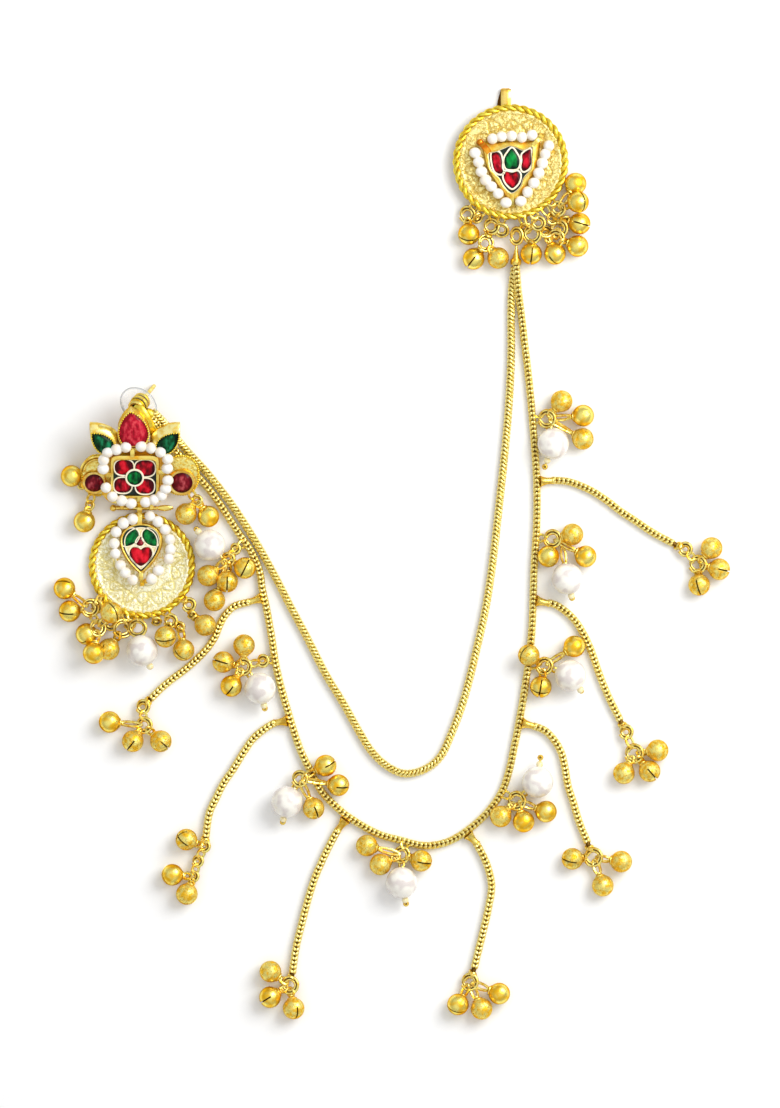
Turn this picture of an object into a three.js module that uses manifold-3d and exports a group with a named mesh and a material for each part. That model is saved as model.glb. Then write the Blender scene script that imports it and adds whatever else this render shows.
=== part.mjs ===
// Bridal drop earring with an ear-to-hair chain, lying face up on z = 0. Millimetres, +Z up.
// +X is to the right of the earring, +Y towards the hair hook, the origin under the middle of its box.
import * as THREE from "three";
import { mergeVertices } from "three/addons/utils/BufferGeometryUtils.js";
import Module from "manifold-3d";

const wasm = await Module();
wasm.setup();

// ---- driving dimensions ----
const GAP = 0.3; // clearance between pieces that are not soldered together
const CHAIN_D = 1.9;
const BELL_R = 2.7;
const PEARL_R = 3.95;
const SEED_R = 1.2;
const RING_WIRE_R = 0.4;
const RING_Z = 2; // height of a jump ring that lies between bells
const THREAD_R = 0.35; // wire that carries seed pearls, head pins
const DISC = { rimR: 0.95, plateThick: 1 };
const SOLDER = 0.2; // how far a soldered piece reaches into the one that carries it
const HAIR = { x: 29.65, y: 98, z: 2.2, radius: 14.5 }; // centre of the hair disc, z of its back
const DROP = { x: -62.5, y: -2.9, z: 0.5, radius: 13.4 };
const TOP = { x: -64.1, tilt: THREE.MathUtils.degToRad(21) }; // the top leans on its post
const HINGE = { y: 11.5, z: 1.9, pinR: 0.5, bailX: -63.1, bailWidth: 1.3, bailWall: 0.6 };
const HOOK = { width: 2.4, strip: 0.5, foldY: 116.2, frontY: 97, backY: 94, x: 28.5, corner: 0.6 };
const POST = { foot: [-0.9, 25.6, 0.2], tip: [4.5, 27.9, -12.1], radius: 0.5 }; // in the ear top's frame

const FINISH = {
  gold: { color: 0xe2b33a, roughness: 0.28, metalness: 1 },
  paleGold: { color: 0xf0dc94, roughness: 0.4, metalness: 1 },
  satinGold: { color: 0xe0ad3c, roughness: 0.38, metalness: 1 },
  red: { color: 0x9c0f26, roughness: 0.12, metalness: 0 },
  maroon: { color: 0x5c1220, roughness: 0.12, metalness: 0 },
  green: { color: 0x0c5a37, roughness: 0.12, metalness: 0 },
  cream: { color: 0xf1e6c4, roughness: 0.3, metalness: 0 },
  pearl: { color: 0xf6f1ea, roughness: 0.2, metalness: 0 },
  clear: { color: 0xeef2f4, roughness: 0.1, metalness: 0 },
};

// ---- shapes ----
const at = (x, y, z = 0) => new THREE.Vector3(x, y, z);

const WELD = 1e-4; // vertices closer than this are one

/** A closed manifold solid from a closed three.js geometry. */
function toSolid(geometry) {
  const bare = geometry.clone();
  bare.deleteAttribute("normal");
  bare.deleteAttribute("uv");
  const welded = mergeVertices(bare, WELD);
  return new wasm.Manifold(new wasm.Mesh({
    numProp: 3,
    vertProperties: new Float32Array(welded.attributes.position.array),
    triVerts: new Uint32Array(welded.index.array),
  }));
}

/** A three.js geometry from a manifold solid. */
function toGeometry(solid) {
  const mesh = solid.getMesh();
  const geometry = new THREE.BufferGeometry();
  geometry.setAttribute("position", new THREE.BufferAttribute(mesh.vertProperties, 3));
  geometry.setIndex(new THREE.BufferAttribute(mesh.triVerts, 1));
  return geometry;
}

/** Pieces soldered into one. */
const solder = (pieces) => toGeometry(pieces.map(toSolid).reduce((whole, piece) => whole.add(piece)));

/** A body with a tool's shape taken out of it. */
const cutAway = (body, tool) => toGeometry(toSolid(body).subtract(toSolid(tool)));

/** A faceted ball with its poles on Z. */
function ball(radius, centre, around = 7, down = 4) {
  const geometry = new THREE.SphereGeometry(radius, around, down).rotateX(Math.PI / 2);
  return geometry.translate(centre.x, centre.y, centre.z);
}

/** A round bar or cone between two points. */
function bar(from, to, radiusFrom, radiusTo = radiusFrom, sides = 5) {
  const along = to.clone().sub(from);
  const geometry = new THREE.CylinderGeometry(radiusTo, radiusFrom, along.length(), sides);
  geometry.translate(0, along.length() / 2, 0);
  geometry.applyQuaternion(new THREE.Quaternion().setFromUnitVectors(at(0, 1), along.normalize()));
  return geometry.translate(from.x, from.y, from.z);
}

/** A wire ring lying flat. */
const flatRing = (radius, wire, centre) =>
  new THREE.TorusGeometry(radius, wire, 3, 8).translate(centre.x, centre.y, centre.z);

/** A tube of round section along a smooth route, with a step every three diameters. */
function tube(points, diameter, sides = 8) {
  const corners = Array.from({ length: sides }, (_, i) => {
    const angle = (2 * Math.PI * i) / sides;
    return new THREE.Vector2(Math.cos(angle), Math.sin(angle)).multiplyScalar(diameter / 2);
  });
  const route = new THREE.CatmullRomCurve3(points, false, "centripetal");
  const steps = Math.round(route.getLength() / (3 * diameter));
  return new THREE.ExtrudeGeometry(new THREE.Shape(corners), { steps, extrudePath: route, curveSegments: 1 });
}

/** A solid turned about Z from a closed profile of [radius, height] points. */
function turned(profile, segments) {
  const points = profile.map(([radius, height]) => new THREE.Vector2(radius, height));
  return new THREE.LatheGeometry(points, segments).rotateX(Math.PI / 2);
}

/** An outline pushed up from height z. */
const raised = (outline, z, height, curveSegments = 3) =>
  new THREE.ExtrudeGeometry(outline, { depth: height, bevelEnabled: false, curveSegments }).translate(0, 0, z);

/** A teardrop outline: a round end about the origin, and a point on +Y. */
function teardrop(width, length) {
  const radius = width / 2;
  const tip = length - radius;
  const touch = Math.acos(radius / tip);
  const outline = new THREE.Shape();
  outline.moveTo(0, tip);
  outline.lineTo(radius * Math.sin(touch), radius * Math.cos(touch));
  outline.absarc(0, 0, radius, Math.PI / 2 - touch, Math.PI / 2 + touch, true);
  return outline;
}

/** A shield outline about the origin, with a flat top and its point on -Y. */
function shield(width, height) {
  const outline = new THREE.Shape();
  outline.moveTo(-width / 2, height / 2);
  outline.lineTo(width / 2, height / 2);
  outline.quadraticCurveTo(width / 2, -height / 8, 0, -height / 2);
  outline.quadraticCurveTo(-width / 2, -height / 8, -width / 2, height / 2);
  return outline;
}

/** A rectangle with round corners about the origin. */
function roundedRectangle(width, height, corner) {
  const [x, y] = [width / 2 - corner, height / 2 - corner];
  const outline = new THREE.Shape();
  outline.absarc(x, -y, corner, -Math.PI / 2, 0);
  outline.absarc(x, y, corner, 0, Math.PI / 2);
  outline.absarc(-x, y, corner, Math.PI / 2, Math.PI);
  outline.absarc(-x, -y, corner, Math.PI, 1.5 * Math.PI);
  return outline.closePath();
}

/** Seed pearls on their wire, in one piece. */
function seedString(centres) {
  const pearls = centres.map((centre) => ball(SEED_R, centre, 5, 3));
  const wires = centres.slice(1).map((centre, i) => bar(centres[i], centre, THREAD_R, THREAD_R, 3));
  return solder([...pearls, ...wires]);
}

/** A bell with its neck, turned about the line from its centre to the wire that it hangs on. */
function bell(centre, spot) {
  const reach = centre.distanceTo(spot);
  const wireInside = reach < 0.85 * BELL_R;
  if (wireInside) return ball(BELL_R, centre);
  const diagonal = BELL_R * Math.SQRT1_2;
  const neckEnd = Math.max(reach, BELL_R + 0.1);
  const shape = turned([
    [0, -BELL_R], [diagonal, -diagonal], [BELL_R, 0], [diagonal, diagonal], [0.5, 0.98 * BELL_R],
    [RING_WIRE_R, neckEnd], [0, neckEnd],
  ], 6);
  const towards = spot.clone().sub(centre).normalize();
  shape.applyQuaternion(new THREE.Quaternion().setFromUnitVectors(at(0, 0, 1), towards));
  return shape.translate(centre.x, centre.y, centre.z);
}

/** The point of a ring's wire that is nearest to a place. */
function nearestOnRing(ring, place) {
  const outward = place.clone().sub(ring.centre).setZ(0).setLength(ring.radius);
  return ring.centre.clone().add(outward);
}

// ---- the object's tree ----
const earring = new THREE.Group();
earring.name = "drop_earring";
const root = new THREE.Group();
const hairGroup = new THREE.Group();
const topGroup = new THREE.Group();
const dropGroup = new THREE.Group();
const postGroup = new THREE.Group();
hairGroup.position.set(HAIR.x, HAIR.y, HAIR.z);
topGroup.position.set(TOP.x, HINGE.y, HINGE.z);
topGroup.rotation.x = TOP.tilt;
dropGroup.position.set(DROP.x, DROP.y, DROP.z);
earring.add(root, hairGroup, topGroup, dropGroup);
topGroup.add(postGroup);

/** Names a mesh, gives it a material of its own and puts it in a group. */
function piece(name, geometry, finish, group = root, place = at(0, 0)) {
  const mesh = new THREE.Mesh(geometry, new THREE.MeshStandardMaterial(FINISH[finish]));
  mesh.name = name;
  mesh.position.copy(place);
  group.add(mesh);
  return mesh;
}

// ---- jump rings with bells ----
/** Rings linked in a row, each bell on the ring nearest to it. Rings are [x, y, radius], bells [x, y, z]. */
function bellBunch(name, rings, bells, ringZ = RING_Z) {
  const origin = at(rings[0][0], rings[0][1]);
  const linked = rings.map(([x, y, radius]) => ({ centre: at(x, y, ringZ).sub(origin), radius }));
  const shapes = linked.map((ring) => flatRing(ring.radius, RING_WIRE_R, ring.centre));
  for (let i = 1; i < linked.length; i += 1) {
    const from = nearestOnRing(linked[i - 1], linked[i].centre);
    const to = nearestOnRing(linked[i], linked[i - 1].centre);
    if (from.distanceTo(to) > 0.1) shapes.push(bar(from, to, RING_WIRE_R));
  }
  for (const [x, y, z = BELL_R] of bells) {
    const centre = at(x, y, z).sub(origin);
    const spots = linked.map((ring) => nearestOnRing(ring, centre));
    spots.sort((a, b) => a.distanceTo(centre) - b.distanceTo(centre));
    shapes.push(bell(centre, spots[0]));
  }
  piece(name, solder(shapes), "satinGold", root, origin);
}

const PIN_BALL_R = 0.65;

/** A pearl on a head pin that ends in a small ball, hung from the wire of a ring or of a link near it. */
function pearlDrop(name, [x, y], [tipX, tipY], [hookX, hookY]) {
  const centre = at(x, y, PEARL_R);
  const tip = at(tipX, tipY, PEARL_R).sub(centre);
  const neck = at(hookX, hookY, RING_Z).sub(centre);
  const shapes = [ball(PEARL_R, at(0, 0), 8, 6), bar(at(0, 0), tip, THREAD_R), ball(PIN_BALL_R, tip, 5, 3)];
  neck.setLength(neck.length() - RING_WIRE_R - GAP);
  const neckShows = neck.length() > PEARL_R + SOLDER;
  if (neckShows) shapes.push(bar(at(0, 0), neck, THREAD_R));
  piece(name, solder(shapes), "pearl", root, centre);
}

/** The [x, y] of a ring's wire on the side of a place. */
function nearSide([ringX, ringY, radius], [x, y]) {
  const spot = nearestOnRing({ centre: at(ringX, ringY), radius }, at(x, y));
  return [spot.x, spot.y];
}

// ---- chains ----
// Routes as [x, y, z] of the chain's middle; without a z it lies on the surface.
const LIE = CHAIN_D / 2;
const LONG_ROUTE = [
  [-59.1, 33, 8.4], [-57.2, 30.2, 5.2], [-54.9, 26.9, 1.9], [-52.2, 23.6, 1], [-49.3, 20.2], [-45.8, 16.2],
  [-43, 12.4], [-38.6, 5.6], [-35.1, 0.4], [-33.1, -4.4], [-32.4, -9], [-31.5, -13], [-30.1, -20.7],
  [-29.1, -27.4], [-27.8, -33.1], [-26.1, -39.1], [-23, -48.8], [-20.5, -54], [-17.7, -59.2], [-14.6, -62.6],
  [-10.9, -65.7], [-3.4, -70], [2.3, -71.6], [8.4, -72.9], [13.8, -72], [18.7, -69.2], [23.4, -65.1],
  [26.8, -60.6], [28.6, -56.6], [30.9, -46.6], [33.3, -33], [34.9, -20.2], [35.5, -4.3], [36.2, 8],
  [36.2, 18.2], [35.3, 31.4], [34.3, 43], [33, 54], [32.2, 61, 1.2], [31.5, 66.4, 2.5], [31, 72.8, 3.2],
];
const SHORT_ROUTE = [
  [-57.7, 34.5, 8.9], [-55.5, 31.3, 5.6], [-52.9, 27.7, 2.2], [-49.8, 24.2, 1], [-46.4, 20.5], [-40.1, 12.4],
  [-34.3, 3.4], [-29.3, -5.5], [-25.3, -13.3], [-21.4, -20.6], [-16.5, -30.2], [-12.2, -37.3], [-8, -44.8],
  [-5, -49.5], [-1, -53.2], [3.2, -54.9], [8.2, -53.8], [12, -50.8], [14.9, -44.8], [17.9, -36.6],
  [21.7, -21.5], [23.8, -11.5], [25.4, -0.3], [26.4, 8.5], [28.5, 28.5], [29.3, 38.5], [29.8, 50],
  [29.8, 60], [30, 66.4], [30.8, 72.8],
];
const lying = (route) => route.map(([x, y, z = LIE]) => at(x, y, z));

piece("long_chain", tube(lying(LONG_ROUTE), CHAIN_D), "gold");
piece("short_chain", tube(lying(SHORT_ROUTE), CHAIN_D), "gold");

// Side chains hang from a cone soldered beside the long chain: foot of the cone, then the route.
const SIDE_CHAINS = [
  { name: "side_chain_1", route: [[37.6, 18.2], [41, 18.4], [44.5, 18], [49.5, 16], [53.5, 13.5],
    [57, 10.8], [60.8, 8.3], [64.5, 5.8], [68, 3.8], [71.2, 2.2]] },
  { name: "side_chain_2", route: [[36.6, -11.8], [40.6, -12.6], [43.2, -14.2], [45.8, -16.7],
    [48, -20.2], [49.9, -24.4], [51.5, -29.1], [53.1, -33.3], [55, -37.5], [57.5, -42.4]] },
  { name: "side_chain_3", route: [[33, -42.4], [35.4, -43], [38.3, -44.2], [40.6, -46.6],
    [42.3, -49.6], [43.2, -53.3], [44, -57.9], [45.3, -62], [46.8, -67], [49.3, -73.1]] },
  { name: "side_chain_4", route: [[19.4, -70.5], [20.7, -71.9], [22.6, -75.1], [24.1, -78.8],
    [24.9, -83], [24.2, -88.1], [23, -93.5], [21.5, -99.6], [20.3, -104.6]] },
  { name: "side_chain_5", route: [[-12, -66.9], [-13.5, -69], [-15.6, -72.8], [-17.5, -76.8],
    [-19.1, -80.5], [-21, -86.4], [-22.9, -93.8], [-24, -98.4], [-25, -105.6]] },
  { name: "side_chain_6", route: [[-26.8, -41.8], [-29.2, -42.2], [-31.8, -43.7], [-34.8, -46.3],
    [-37.3, -49.9], [-39.8, -54], [-42.1, -57.3], [-43.9, -60.9], [-45.6, -64.6], [-46.6, -71.1]] },
  { name: "side_chain_7", route: [[-33.2, -11.2], [-36.2, -12.1], [-39.3, -13], [-41.5, -15],
    [-43, -17.6], [-44.2, -20.6], [-46.2, -23.6], [-48.9, -26.4], [-51.9, -29], [-54.6, -31], [-57.3, -33.2],
    [-60.7, -36.6]] },
];
const CONE = { foot: 1.5, length: 2.2, lift: 0.55 };

for (const { name, route } of SIDE_CHAINS) {
  const points = lying(route);
  const foot = points[0];
  const neck = points[1].clone().sub(foot).setLength(CONE.length).add(foot);
  foot.setZ(LIE + CONE.lift);
  neck.setZ(LIE + CONE.lift);
  const chain = tube([foot.clone().lerp(points[1], 0.5).setZ(LIE), ...points.slice(1)], CHAIN_D);
  piece(name, solder([chain, bar(foot, neck, CONE.foot, CHAIN_D / 2, 6)]), "gold");
}

// ---- bells and pearls along the long chain ----
const CHAIN_BUNCHES = [
  { rings: [[38.8, 34.2, 1.9]], bells: [[42.4, 38.2], [47.8, 34.6], [47.7, 28.8]],
    pearl: [40.3, 27.6], tip: [38.2, 21.8] },
  { rings: [[40, 3.8, 1.8]], bells: [[45.1, 4.9], [48.4, -0.6], [39.1, -0.6]],
    pearl: [43.8, -6.2], tip: [45, -11], hook: [42.6, 1.2] },
  { rings: [[38, -28, 1.6]], bells: [[34.2, -25.3, 5], [37.2, -33.2], [45.6, -23.1]],
    pearl: [44.6, -30.4], tip: [47.3, -34.2] },
  { rings: [[31.3, -61.5, 1.6]], bells: [[27.2, -65.6, 2.7], [32.9, -66.9], [38.5, -64.4]],
    pearl: [36.4, -57], tip: [37.1, -50.9] },
  { rings: [[2.4, -75, 1.6]], bells: [[-6.3, -72.9, 2.7], [-2.9, -77.6], [7.3, -76.7]],
    pearl: [2.4, -82.2], tip: [3.5, -87.4] },
  { rings: [[-23.1, -56.2, 1.7]], bells: [[-16.6, -52.9], [-13.4, -57.8], [-19.6, -63.6]],
    pearl: [-26.3, -62], tip: [-27.3, -67], ringZ: 3.3 },
  { rings: [[-32.3, -26.7, 1.4], [-37, -28.2, 1.9]], bells: [[-37, -22.8], [-42.2, -27], [-40.2, -33]],
    pearl: [-33, -33.6], tip: [-31.8, -38.6] },
  { rings: [[-39.2, 1.3, 1.2], [-41, -1.4, 1.6]], bells: [[-46, -5.4], [-41.2, -6.9], [-36.8, -3.5, 3.7],
    [-44.4, -11.6]], pearl: [-45.6, 2.2], tip: [-48.9, 6.2] },
];

CHAIN_BUNCHES.forEach(({ rings, bells, pearl, tip, hook, ringZ }, i) => {
  const lastRing = rings[rings.length - 1];
  bellBunch(`chain_bells_${i + 1}`, rings, bells, ringZ);
  pearlDrop(`chain_pearl_${i + 1}`, pearl, tip, hook ?? nearSide(lastRing, pearl));
});

// ---- bells at the ends of the side chains ----
const END_BUNCHES = [
  { rings: [[73.3, 1.2, 1.6], [76.6, -3.1, 1.6]], bells: [[79.9, 1.5], [81.8, -3.8], [76.8, -7.7]] },
  { rings: [[58.5, -44.5, 1.6], [60.5, -49.9, 2.1]], bells: [[66.4, -49.1], [64.4, -54.3], [58, -54.8]] },
  { rings: [[50.3, -75.6, 2]], bells: [[45.1, -76.2], [57.3, -76.9], [52.7, -82.9]] },
  { rings: [[19.7, -107, 1.8]], bells: [[16.5, -112.6], [22.4, -113.7], [26.8, -109.9]] },
  { rings: [[-25.4, -108.2, 1.9]], bells: [[-30.4, -104.4], [-30.5, -110.8], [-24.6, -113.6]] },
  { rings: [[-46.9, -73.1, 1.3], [-48.6, -76.8, 1.3], [-49.6, -80.6, 1.2]],
    bells: [[-51.4, -71.4], [-54.9, -80.2], [-51.3, -85]] },
  { rings: [[-62.3, -38.2, 1.6], [-62, -42.8, 1.9]], bells: [[-70.6, -42], [-64.8, -46.8], [-57.8, -46.8]] },
];
END_BUNCHES.forEach(({ rings, bells }, i) => bellBunch(`side_bells_${i + 1}`, rings, bells));

// ---- hair disc ----
/** A coin-like disc with a rope rim, its back on z = 0 of its group. */
function ropeDisc(edge) {
  const { rimR, plateThick } = DISC;
  const plateR = edge - 2 * rimR + SOLDER;
  return turned([
    [0, 0], [plateR, 0], [plateR + 0.5, -0.2], [edge - 0.3, -0.1], [edge, 0.6], [edge - 0.3, 1.5],
    [plateR + 0.5, 1.7], [plateR - 0.1, plateThick], [0, plateThick],
  ], 28);
}

const SETTING = { base: DISC.plateThick - SOLDER, tall: 2.2, inlayZ: DISC.plateThick - SOLDER + 1.1 + GAP };

/** A gold wall on a disc, with a pocket half its height deep. */
const setting = (outer, inner) => cutAway(
  raised(outer, SETTING.base, SETTING.tall),
  raised(inner, SETTING.base + SETTING.tall / 2, SETTING.tall),
);

const SEED_Z = DISC.plateThick + GAP + SEED_R;
const HAIR_SETTING = { width: 13, height: 12.8, x: 0.3, y: -1.9 };
const HAIR_SEED_ROWS = [
  { from: [-1.3, -10.4], bend: [-7.9, -5], to: [-9, 2.2], count: 7 },
  { from: [-4.8, 6.6], bend: [0.3, 7.1], to: [5.4, 6.7], count: 5 },
  { from: [9.6, 3.9], bend: [8.6, -4.4], to: [2.6, -10], count: 7 },
];

/** Evenly spaced places along rows that bend once. */
function seedPlaces(rows, z) {
  return rows.flatMap(({ from, bend, to, count }) => {
    const curve = new THREE.QuadraticBezierCurve3(at(...from, z), at(...bend, z), at(...to, z));
    return curve.getSpacedPoints(count - 1);
  });
}

/** The hair setting's outline, made smaller all round for its pocket and its inlay. */
const hairShield = (inset) => shield(HAIR_SETTING.width - 2 * inset, HAIR_SETTING.height - 2.6 * inset);
const hairWall = setting(hairShield(0), hairShield(1)).translate(HAIR_SETTING.x, HAIR_SETTING.y, 0);
piece("hair_disc", solder([ropeDisc(HAIR.radius), hairWall]), "paleGold", hairGroup);
piece("hair_inlay", raised(hairShield(1.5), 0, SETTING.tall / 2), "cream", hairGroup,
  at(HAIR_SETTING.x, HAIR_SETTING.y, SETTING.inlayZ));
piece("hair_seed_pearls", seedString(seedPlaces(HAIR_SEED_ROWS, SEED_Z)), "pearl", hairGroup);

/** The flat strip folded at the top of the hair disc, seen from its side. */
function foldedStrip() {
  const { width, strip, foldY, frontY, backY, corner } = HOOK;
  const rimBelow = 0.2; // the disc's rope rim reaches this far below its plate
  const tall = HAIR.z - GAP - rimBelow;
  const profile = new THREE.Shape();
  profile.moveTo(frontY, tall);
  profile.lineTo(foldY - corner, tall);
  profile.lineTo(foldY, tall - corner);
  profile.lineTo(foldY, corner);
  profile.lineTo(foldY - corner, 0);
  profile.lineTo(backY, 0);
  profile.lineTo(backY, strip);
  profile.lineTo(foldY - strip, strip);
  profile.lineTo(foldY - strip, tall - strip);
  profile.lineTo(frontY, tall - strip);
  const strap = new THREE.ExtrudeGeometry(profile, { depth: width, bevelEnabled: false });
  // the outline's own X runs along the object's +Y, its Y along +Z, and the push along +X
  strap.applyMatrix4(new THREE.Matrix4().makeBasis(at(0, 1), at(0, 0, 1), at(1, 0)));
  return strap.translate(HOOK.x - width / 2, 0, 0);
}
piece("hair_hook", foldedStrip(), "gold");

bellBunch("hair_bells_left", [[18.6, 84.3, 1.5], [24.4, 81.6, 1.5], [23.4, 77.4, 1.8]],
  [[19.2, 79.6], [20.2, 73.8], [26.2, 73.5]]);
bellBunch("hair_bells_middle", [[35.6, 81.2, 1.6], [39.8, 80.4, 1.4]], [[35.2, 75.1], [40.9, 74.8]]);
bellBunch("hair_bells_right", [[41.3, 84, 1.2], [43.2, 80.9, 1.2]],
  [[46.9, 76.6], [47.3, 82.4], [46.8, 88, 5.4], [46.2, 92.4, 2.7]]);

// the cone that takes both chain ends, hung from the disc by one ring
const CONE_CAP = { x: 30.95, mouthY: 73.3, tipY: 77.4, z: 2.1, mouthR: 2.1, tipR: 0.7, ringR: 2.1 };
const capMouth = at(CONE_CAP.x, CONE_CAP.mouthY, CONE_CAP.z);
const capTip = at(CONE_CAP.x, CONE_CAP.tipY, CONE_CAP.z);
const capRing = capTip.clone().add(at(0, CONE_CAP.ringR - SOLDER));
piece("chain_cone", solder([
  bar(capMouth, capTip, CONE_CAP.mouthR, CONE_CAP.tipR, 8),
  flatRing(CONE_CAP.ringR, RING_WIRE_R, capRing),
]), "gold");

// ---- ear top, in a frame whose origin is on the hinge and whose +Z is its face ----
const PLATE = { top: 0.5, base: -0.3, width: 17.4, height: 17.6, corner: 3.5 };
const BOX = { width: 11.6, height: 11.5, y: 9.5, face: 3, pocket: 1, frame: 1.1, corner: 1 };
// Petal cups: the name of the stone, its finish, the place of the round end, the turn of the point from
// +Y in degrees, and the cup's width, length and rim height.
const CUPS = [
  ["red_petal_stone", "red", -0.3, 21.6, 3, 8, 10.3, 2.9],
  ["green_petal_stone_left", "green", -7.7, 17.3, 44, 6, 9.6, 2.6],
  ["green_petal_stone_right", "green", 7.7, 17.3, -44, 6, 9.6, 2.6],
].map(([name, finish, x, y, turn, width, length, face]) => ({ name, finish, x, y, turn, width, length, face }));
const ROUND_CUPS = [
  { name: "maroon_stone_left", x: -10.5, y: 7, radius: 3.2 },
  { name: "maroon_stone_right", x: 11.5, y: 7, radius: 3.4 },
];
const CUP = { wall: 0.6, pocket: 1.2 };
const TOP_SEED = { halfWidth: 8.25, halfHeight: 7.5, corner: 4, count: 20, z: PLATE.top + GAP + SEED_R };

/** The outline of the seed pearls' ring, moved outwards. */
const seedOutline = (outwards) => roundedRectangle(
  2 * (TOP_SEED.halfWidth + outwards), 2 * (TOP_SEED.halfHeight + outwards), TOP_SEED.corner + outwards);
/** The room that the ring of seed pearls and all inside it takes, from height z up. */
const seedRoom = (z) => raised(seedOutline(SEED_R + GAP), z, 8).translate(0, BOX.y, 0);

/** A geometry turned about Z and put at a place. */
const set = (geometry, turn, x, y) => geometry.rotateZ(THREE.MathUtils.degToRad(turn)).translate(x, y, 0);

/** A cup's outline, made smaller all round for its pocket and its stone. */
const cupOutline = ({ width, length }, inset) => teardrop(width - 2 * inset, length - 2.6 * inset);

const cupWalls = CUPS.map((cup) => {
  const outer = raised(cupOutline(cup, 0), PLATE.base, cup.face - PLATE.base);
  const pocket = raised(cupOutline(cup, CUP.wall), cup.face - CUP.pocket, 2);
  return cutAway(set(cutAway(outer, pocket), cup.turn, cup.x, cup.y), seedRoom(PLATE.top));
});
const roundWalls = ROUND_CUPS.map(({ x, y, radius }) => {
  const inner = radius - CUP.wall;
  const wall = turned([
    [0, PLATE.base - 0.5], [radius - 0.4, PLATE.base - 0.5], [radius, PLATE.base], [radius, 0.1],
    [inner, PLATE.top + GAP], [inner, -SOLDER], [0, -SOLDER],
  ], 12);
  return cutAway(wall.translate(x, y, 0), seedRoom(PLATE.top));
});
const boxOutline = (inset, corner) =>
  roundedRectangle(BOX.width - 2 * inset, BOX.height - 2 * inset, corner);
const boxWall = cutAway(
  raised(boxOutline(0, BOX.corner), PLATE.base, BOX.face - PLATE.base, 1),
  raised(boxOutline(BOX.frame, BOX.corner / 2), BOX.face - BOX.pocket, 2, 1),
).translate(0, BOX.y, 0);
const bailRoom = new THREE.BoxGeometry(HINGE.bailWidth + 2 * GAP, 4.2, 5)
  .translate(HINGE.bailX - TOP.x, 0, 0);
const basePlate = cutAway(
  raised(roundedRectangle(PLATE.width, PLATE.height, PLATE.corner), PLATE.base, PLATE.top - PLATE.base)
    .translate(0, BOX.y, 0),
  bailRoom,
);
// two lugs hold the hinge pin, which has a knob on its left end and a flattened right one
const PIN = { left: -5.6, knobR: 0.85, right: 5.2, flatTo: 9.2, flatR: 0.95, lugs: [-3.4, 4] };
const pinParts = [
  bar(at(PIN.left, 0), at(PIN.right, 0), HINGE.pinR, HINGE.pinR, 8),
  ball(PIN.knobR, at(PIN.left, 0), 6, 4),
  bar(at(PIN.right - 0.4, 0), at(PIN.flatTo, 0), PIN.flatR, 0.4, 4),
  ...PIN.lugs.map((x) => new THREE.BoxGeometry(1, 2.4, 0.7).translate(x, 1.1, 0)),
];
const postFoot = at(...POST.foot);
const postTip = at(...POST.tip);
piece("ear_top", solder([
  basePlate, boxWall, ...cupWalls, ...roundWalls, ...pinParts,
  bar(postFoot, postTip, POST.radius, POST.radius, 8),
]), "gold", topGroup);
piece("square_inlay", raised(boxOutline(BOX.frame + GAP, 0.4), 0, BOX.pocket + 0.2, 1), "cream", topGroup,
  at(0, BOX.y, BOX.face - BOX.pocket + GAP));
for (const cup of CUPS) {
  const stone = raised(cupOutline(cup, CUP.wall + 0.35), cup.face - CUP.pocket + GAP, 1.3);
  piece(cup.name, cutAway(set(stone, cup.turn, cup.x, cup.y), seedRoom(PLATE.base)), cup.finish, topGroup);
}
for (const { name, x, y, radius } of ROUND_CUPS) {
  const stoneR = radius - CUP.wall - GAP;
  const low = GAP - SOLDER;
  const stone = turned([
    [0, low], [stoneR, low], [stoneR, low + 0.5], [0.6 * stoneR, low + 0.9], [0, low + 1],
  ], 12);
  piece(name, cutAway(stone.translate(x, y, 0), seedRoom(PLATE.base)), "maroon", topGroup);
}
const seedLoop = seedOutline(0).getSpacedPoints(TOP_SEED.count).slice(0, TOP_SEED.count)
  .map((point) => at(point.x, point.y, TOP_SEED.z));
piece("ear_seed_pearls", seedString(seedLoop), "pearl", topGroup, at(0, BOX.y));

// ---- clutch on the post: +Z of its group runs from the foot of the post to its tip ----
const postLine = postTip.clone().sub(postFoot);
postGroup.position.copy(postFoot);
postGroup.quaternion.setFromUnitVectors(at(0, 0, 1), postLine.clone().normalize());
const CLUTCH = { from: 4.55, discR: 5, discThick: 0.9, barrelR: 2.2, barrelLong: 3, bore: POST.radius + GAP };

/** A bored round piece on the post, from one distance along it to another. */
const sleeve = (radius, from, long, segments) => turned([
  [CLUTCH.bore, from], [radius, from], [radius, from + long], [CLUTCH.bore, from + long], [CLUTCH.bore, from],
], segments);

const barrelFrom = CLUTCH.from + CLUTCH.discThick + GAP;
piece("clutch_disc", sleeve(CLUTCH.discR, CLUTCH.from, CLUTCH.discThick, 16), "clear", postGroup);
piece("clutch_barrel", sleeve(CLUTCH.barrelR, barrelFrom, CLUTCH.barrelLong, 10), "gold", postGroup);

// the loop that both chains end in sits on the post, between the cup and the clutch
earring.updateMatrixWorld(true);
const LOOP = { alongPost: 2.9, radius: 1.55, wire: 0.65, end: [-59.3, 34.2, 9.6], strapR: 0.7, endR: 1.2 };
const loopCentre = postGroup.localToWorld(at(0, 0, LOOP.alongPost));
const loopTurn = postGroup.getWorldQuaternion(new THREE.Quaternion());
const loopEnd = at(...LOOP.end);
const strapStart = loopEnd.clone().sub(loopCentre).setLength(LOOP.radius).add(loopCentre);
const loopRing = new THREE.TorusGeometry(LOOP.radius, LOOP.wire, 5, 12).applyQuaternion(loopTurn)
  .translate(loopCentre.x, loopCentre.y, loopCentre.z);
piece("chain_loop", solder([loopRing, bar(strapStart, loopEnd, LOOP.strapR, LOOP.endR, 6)]), "gold");

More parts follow.
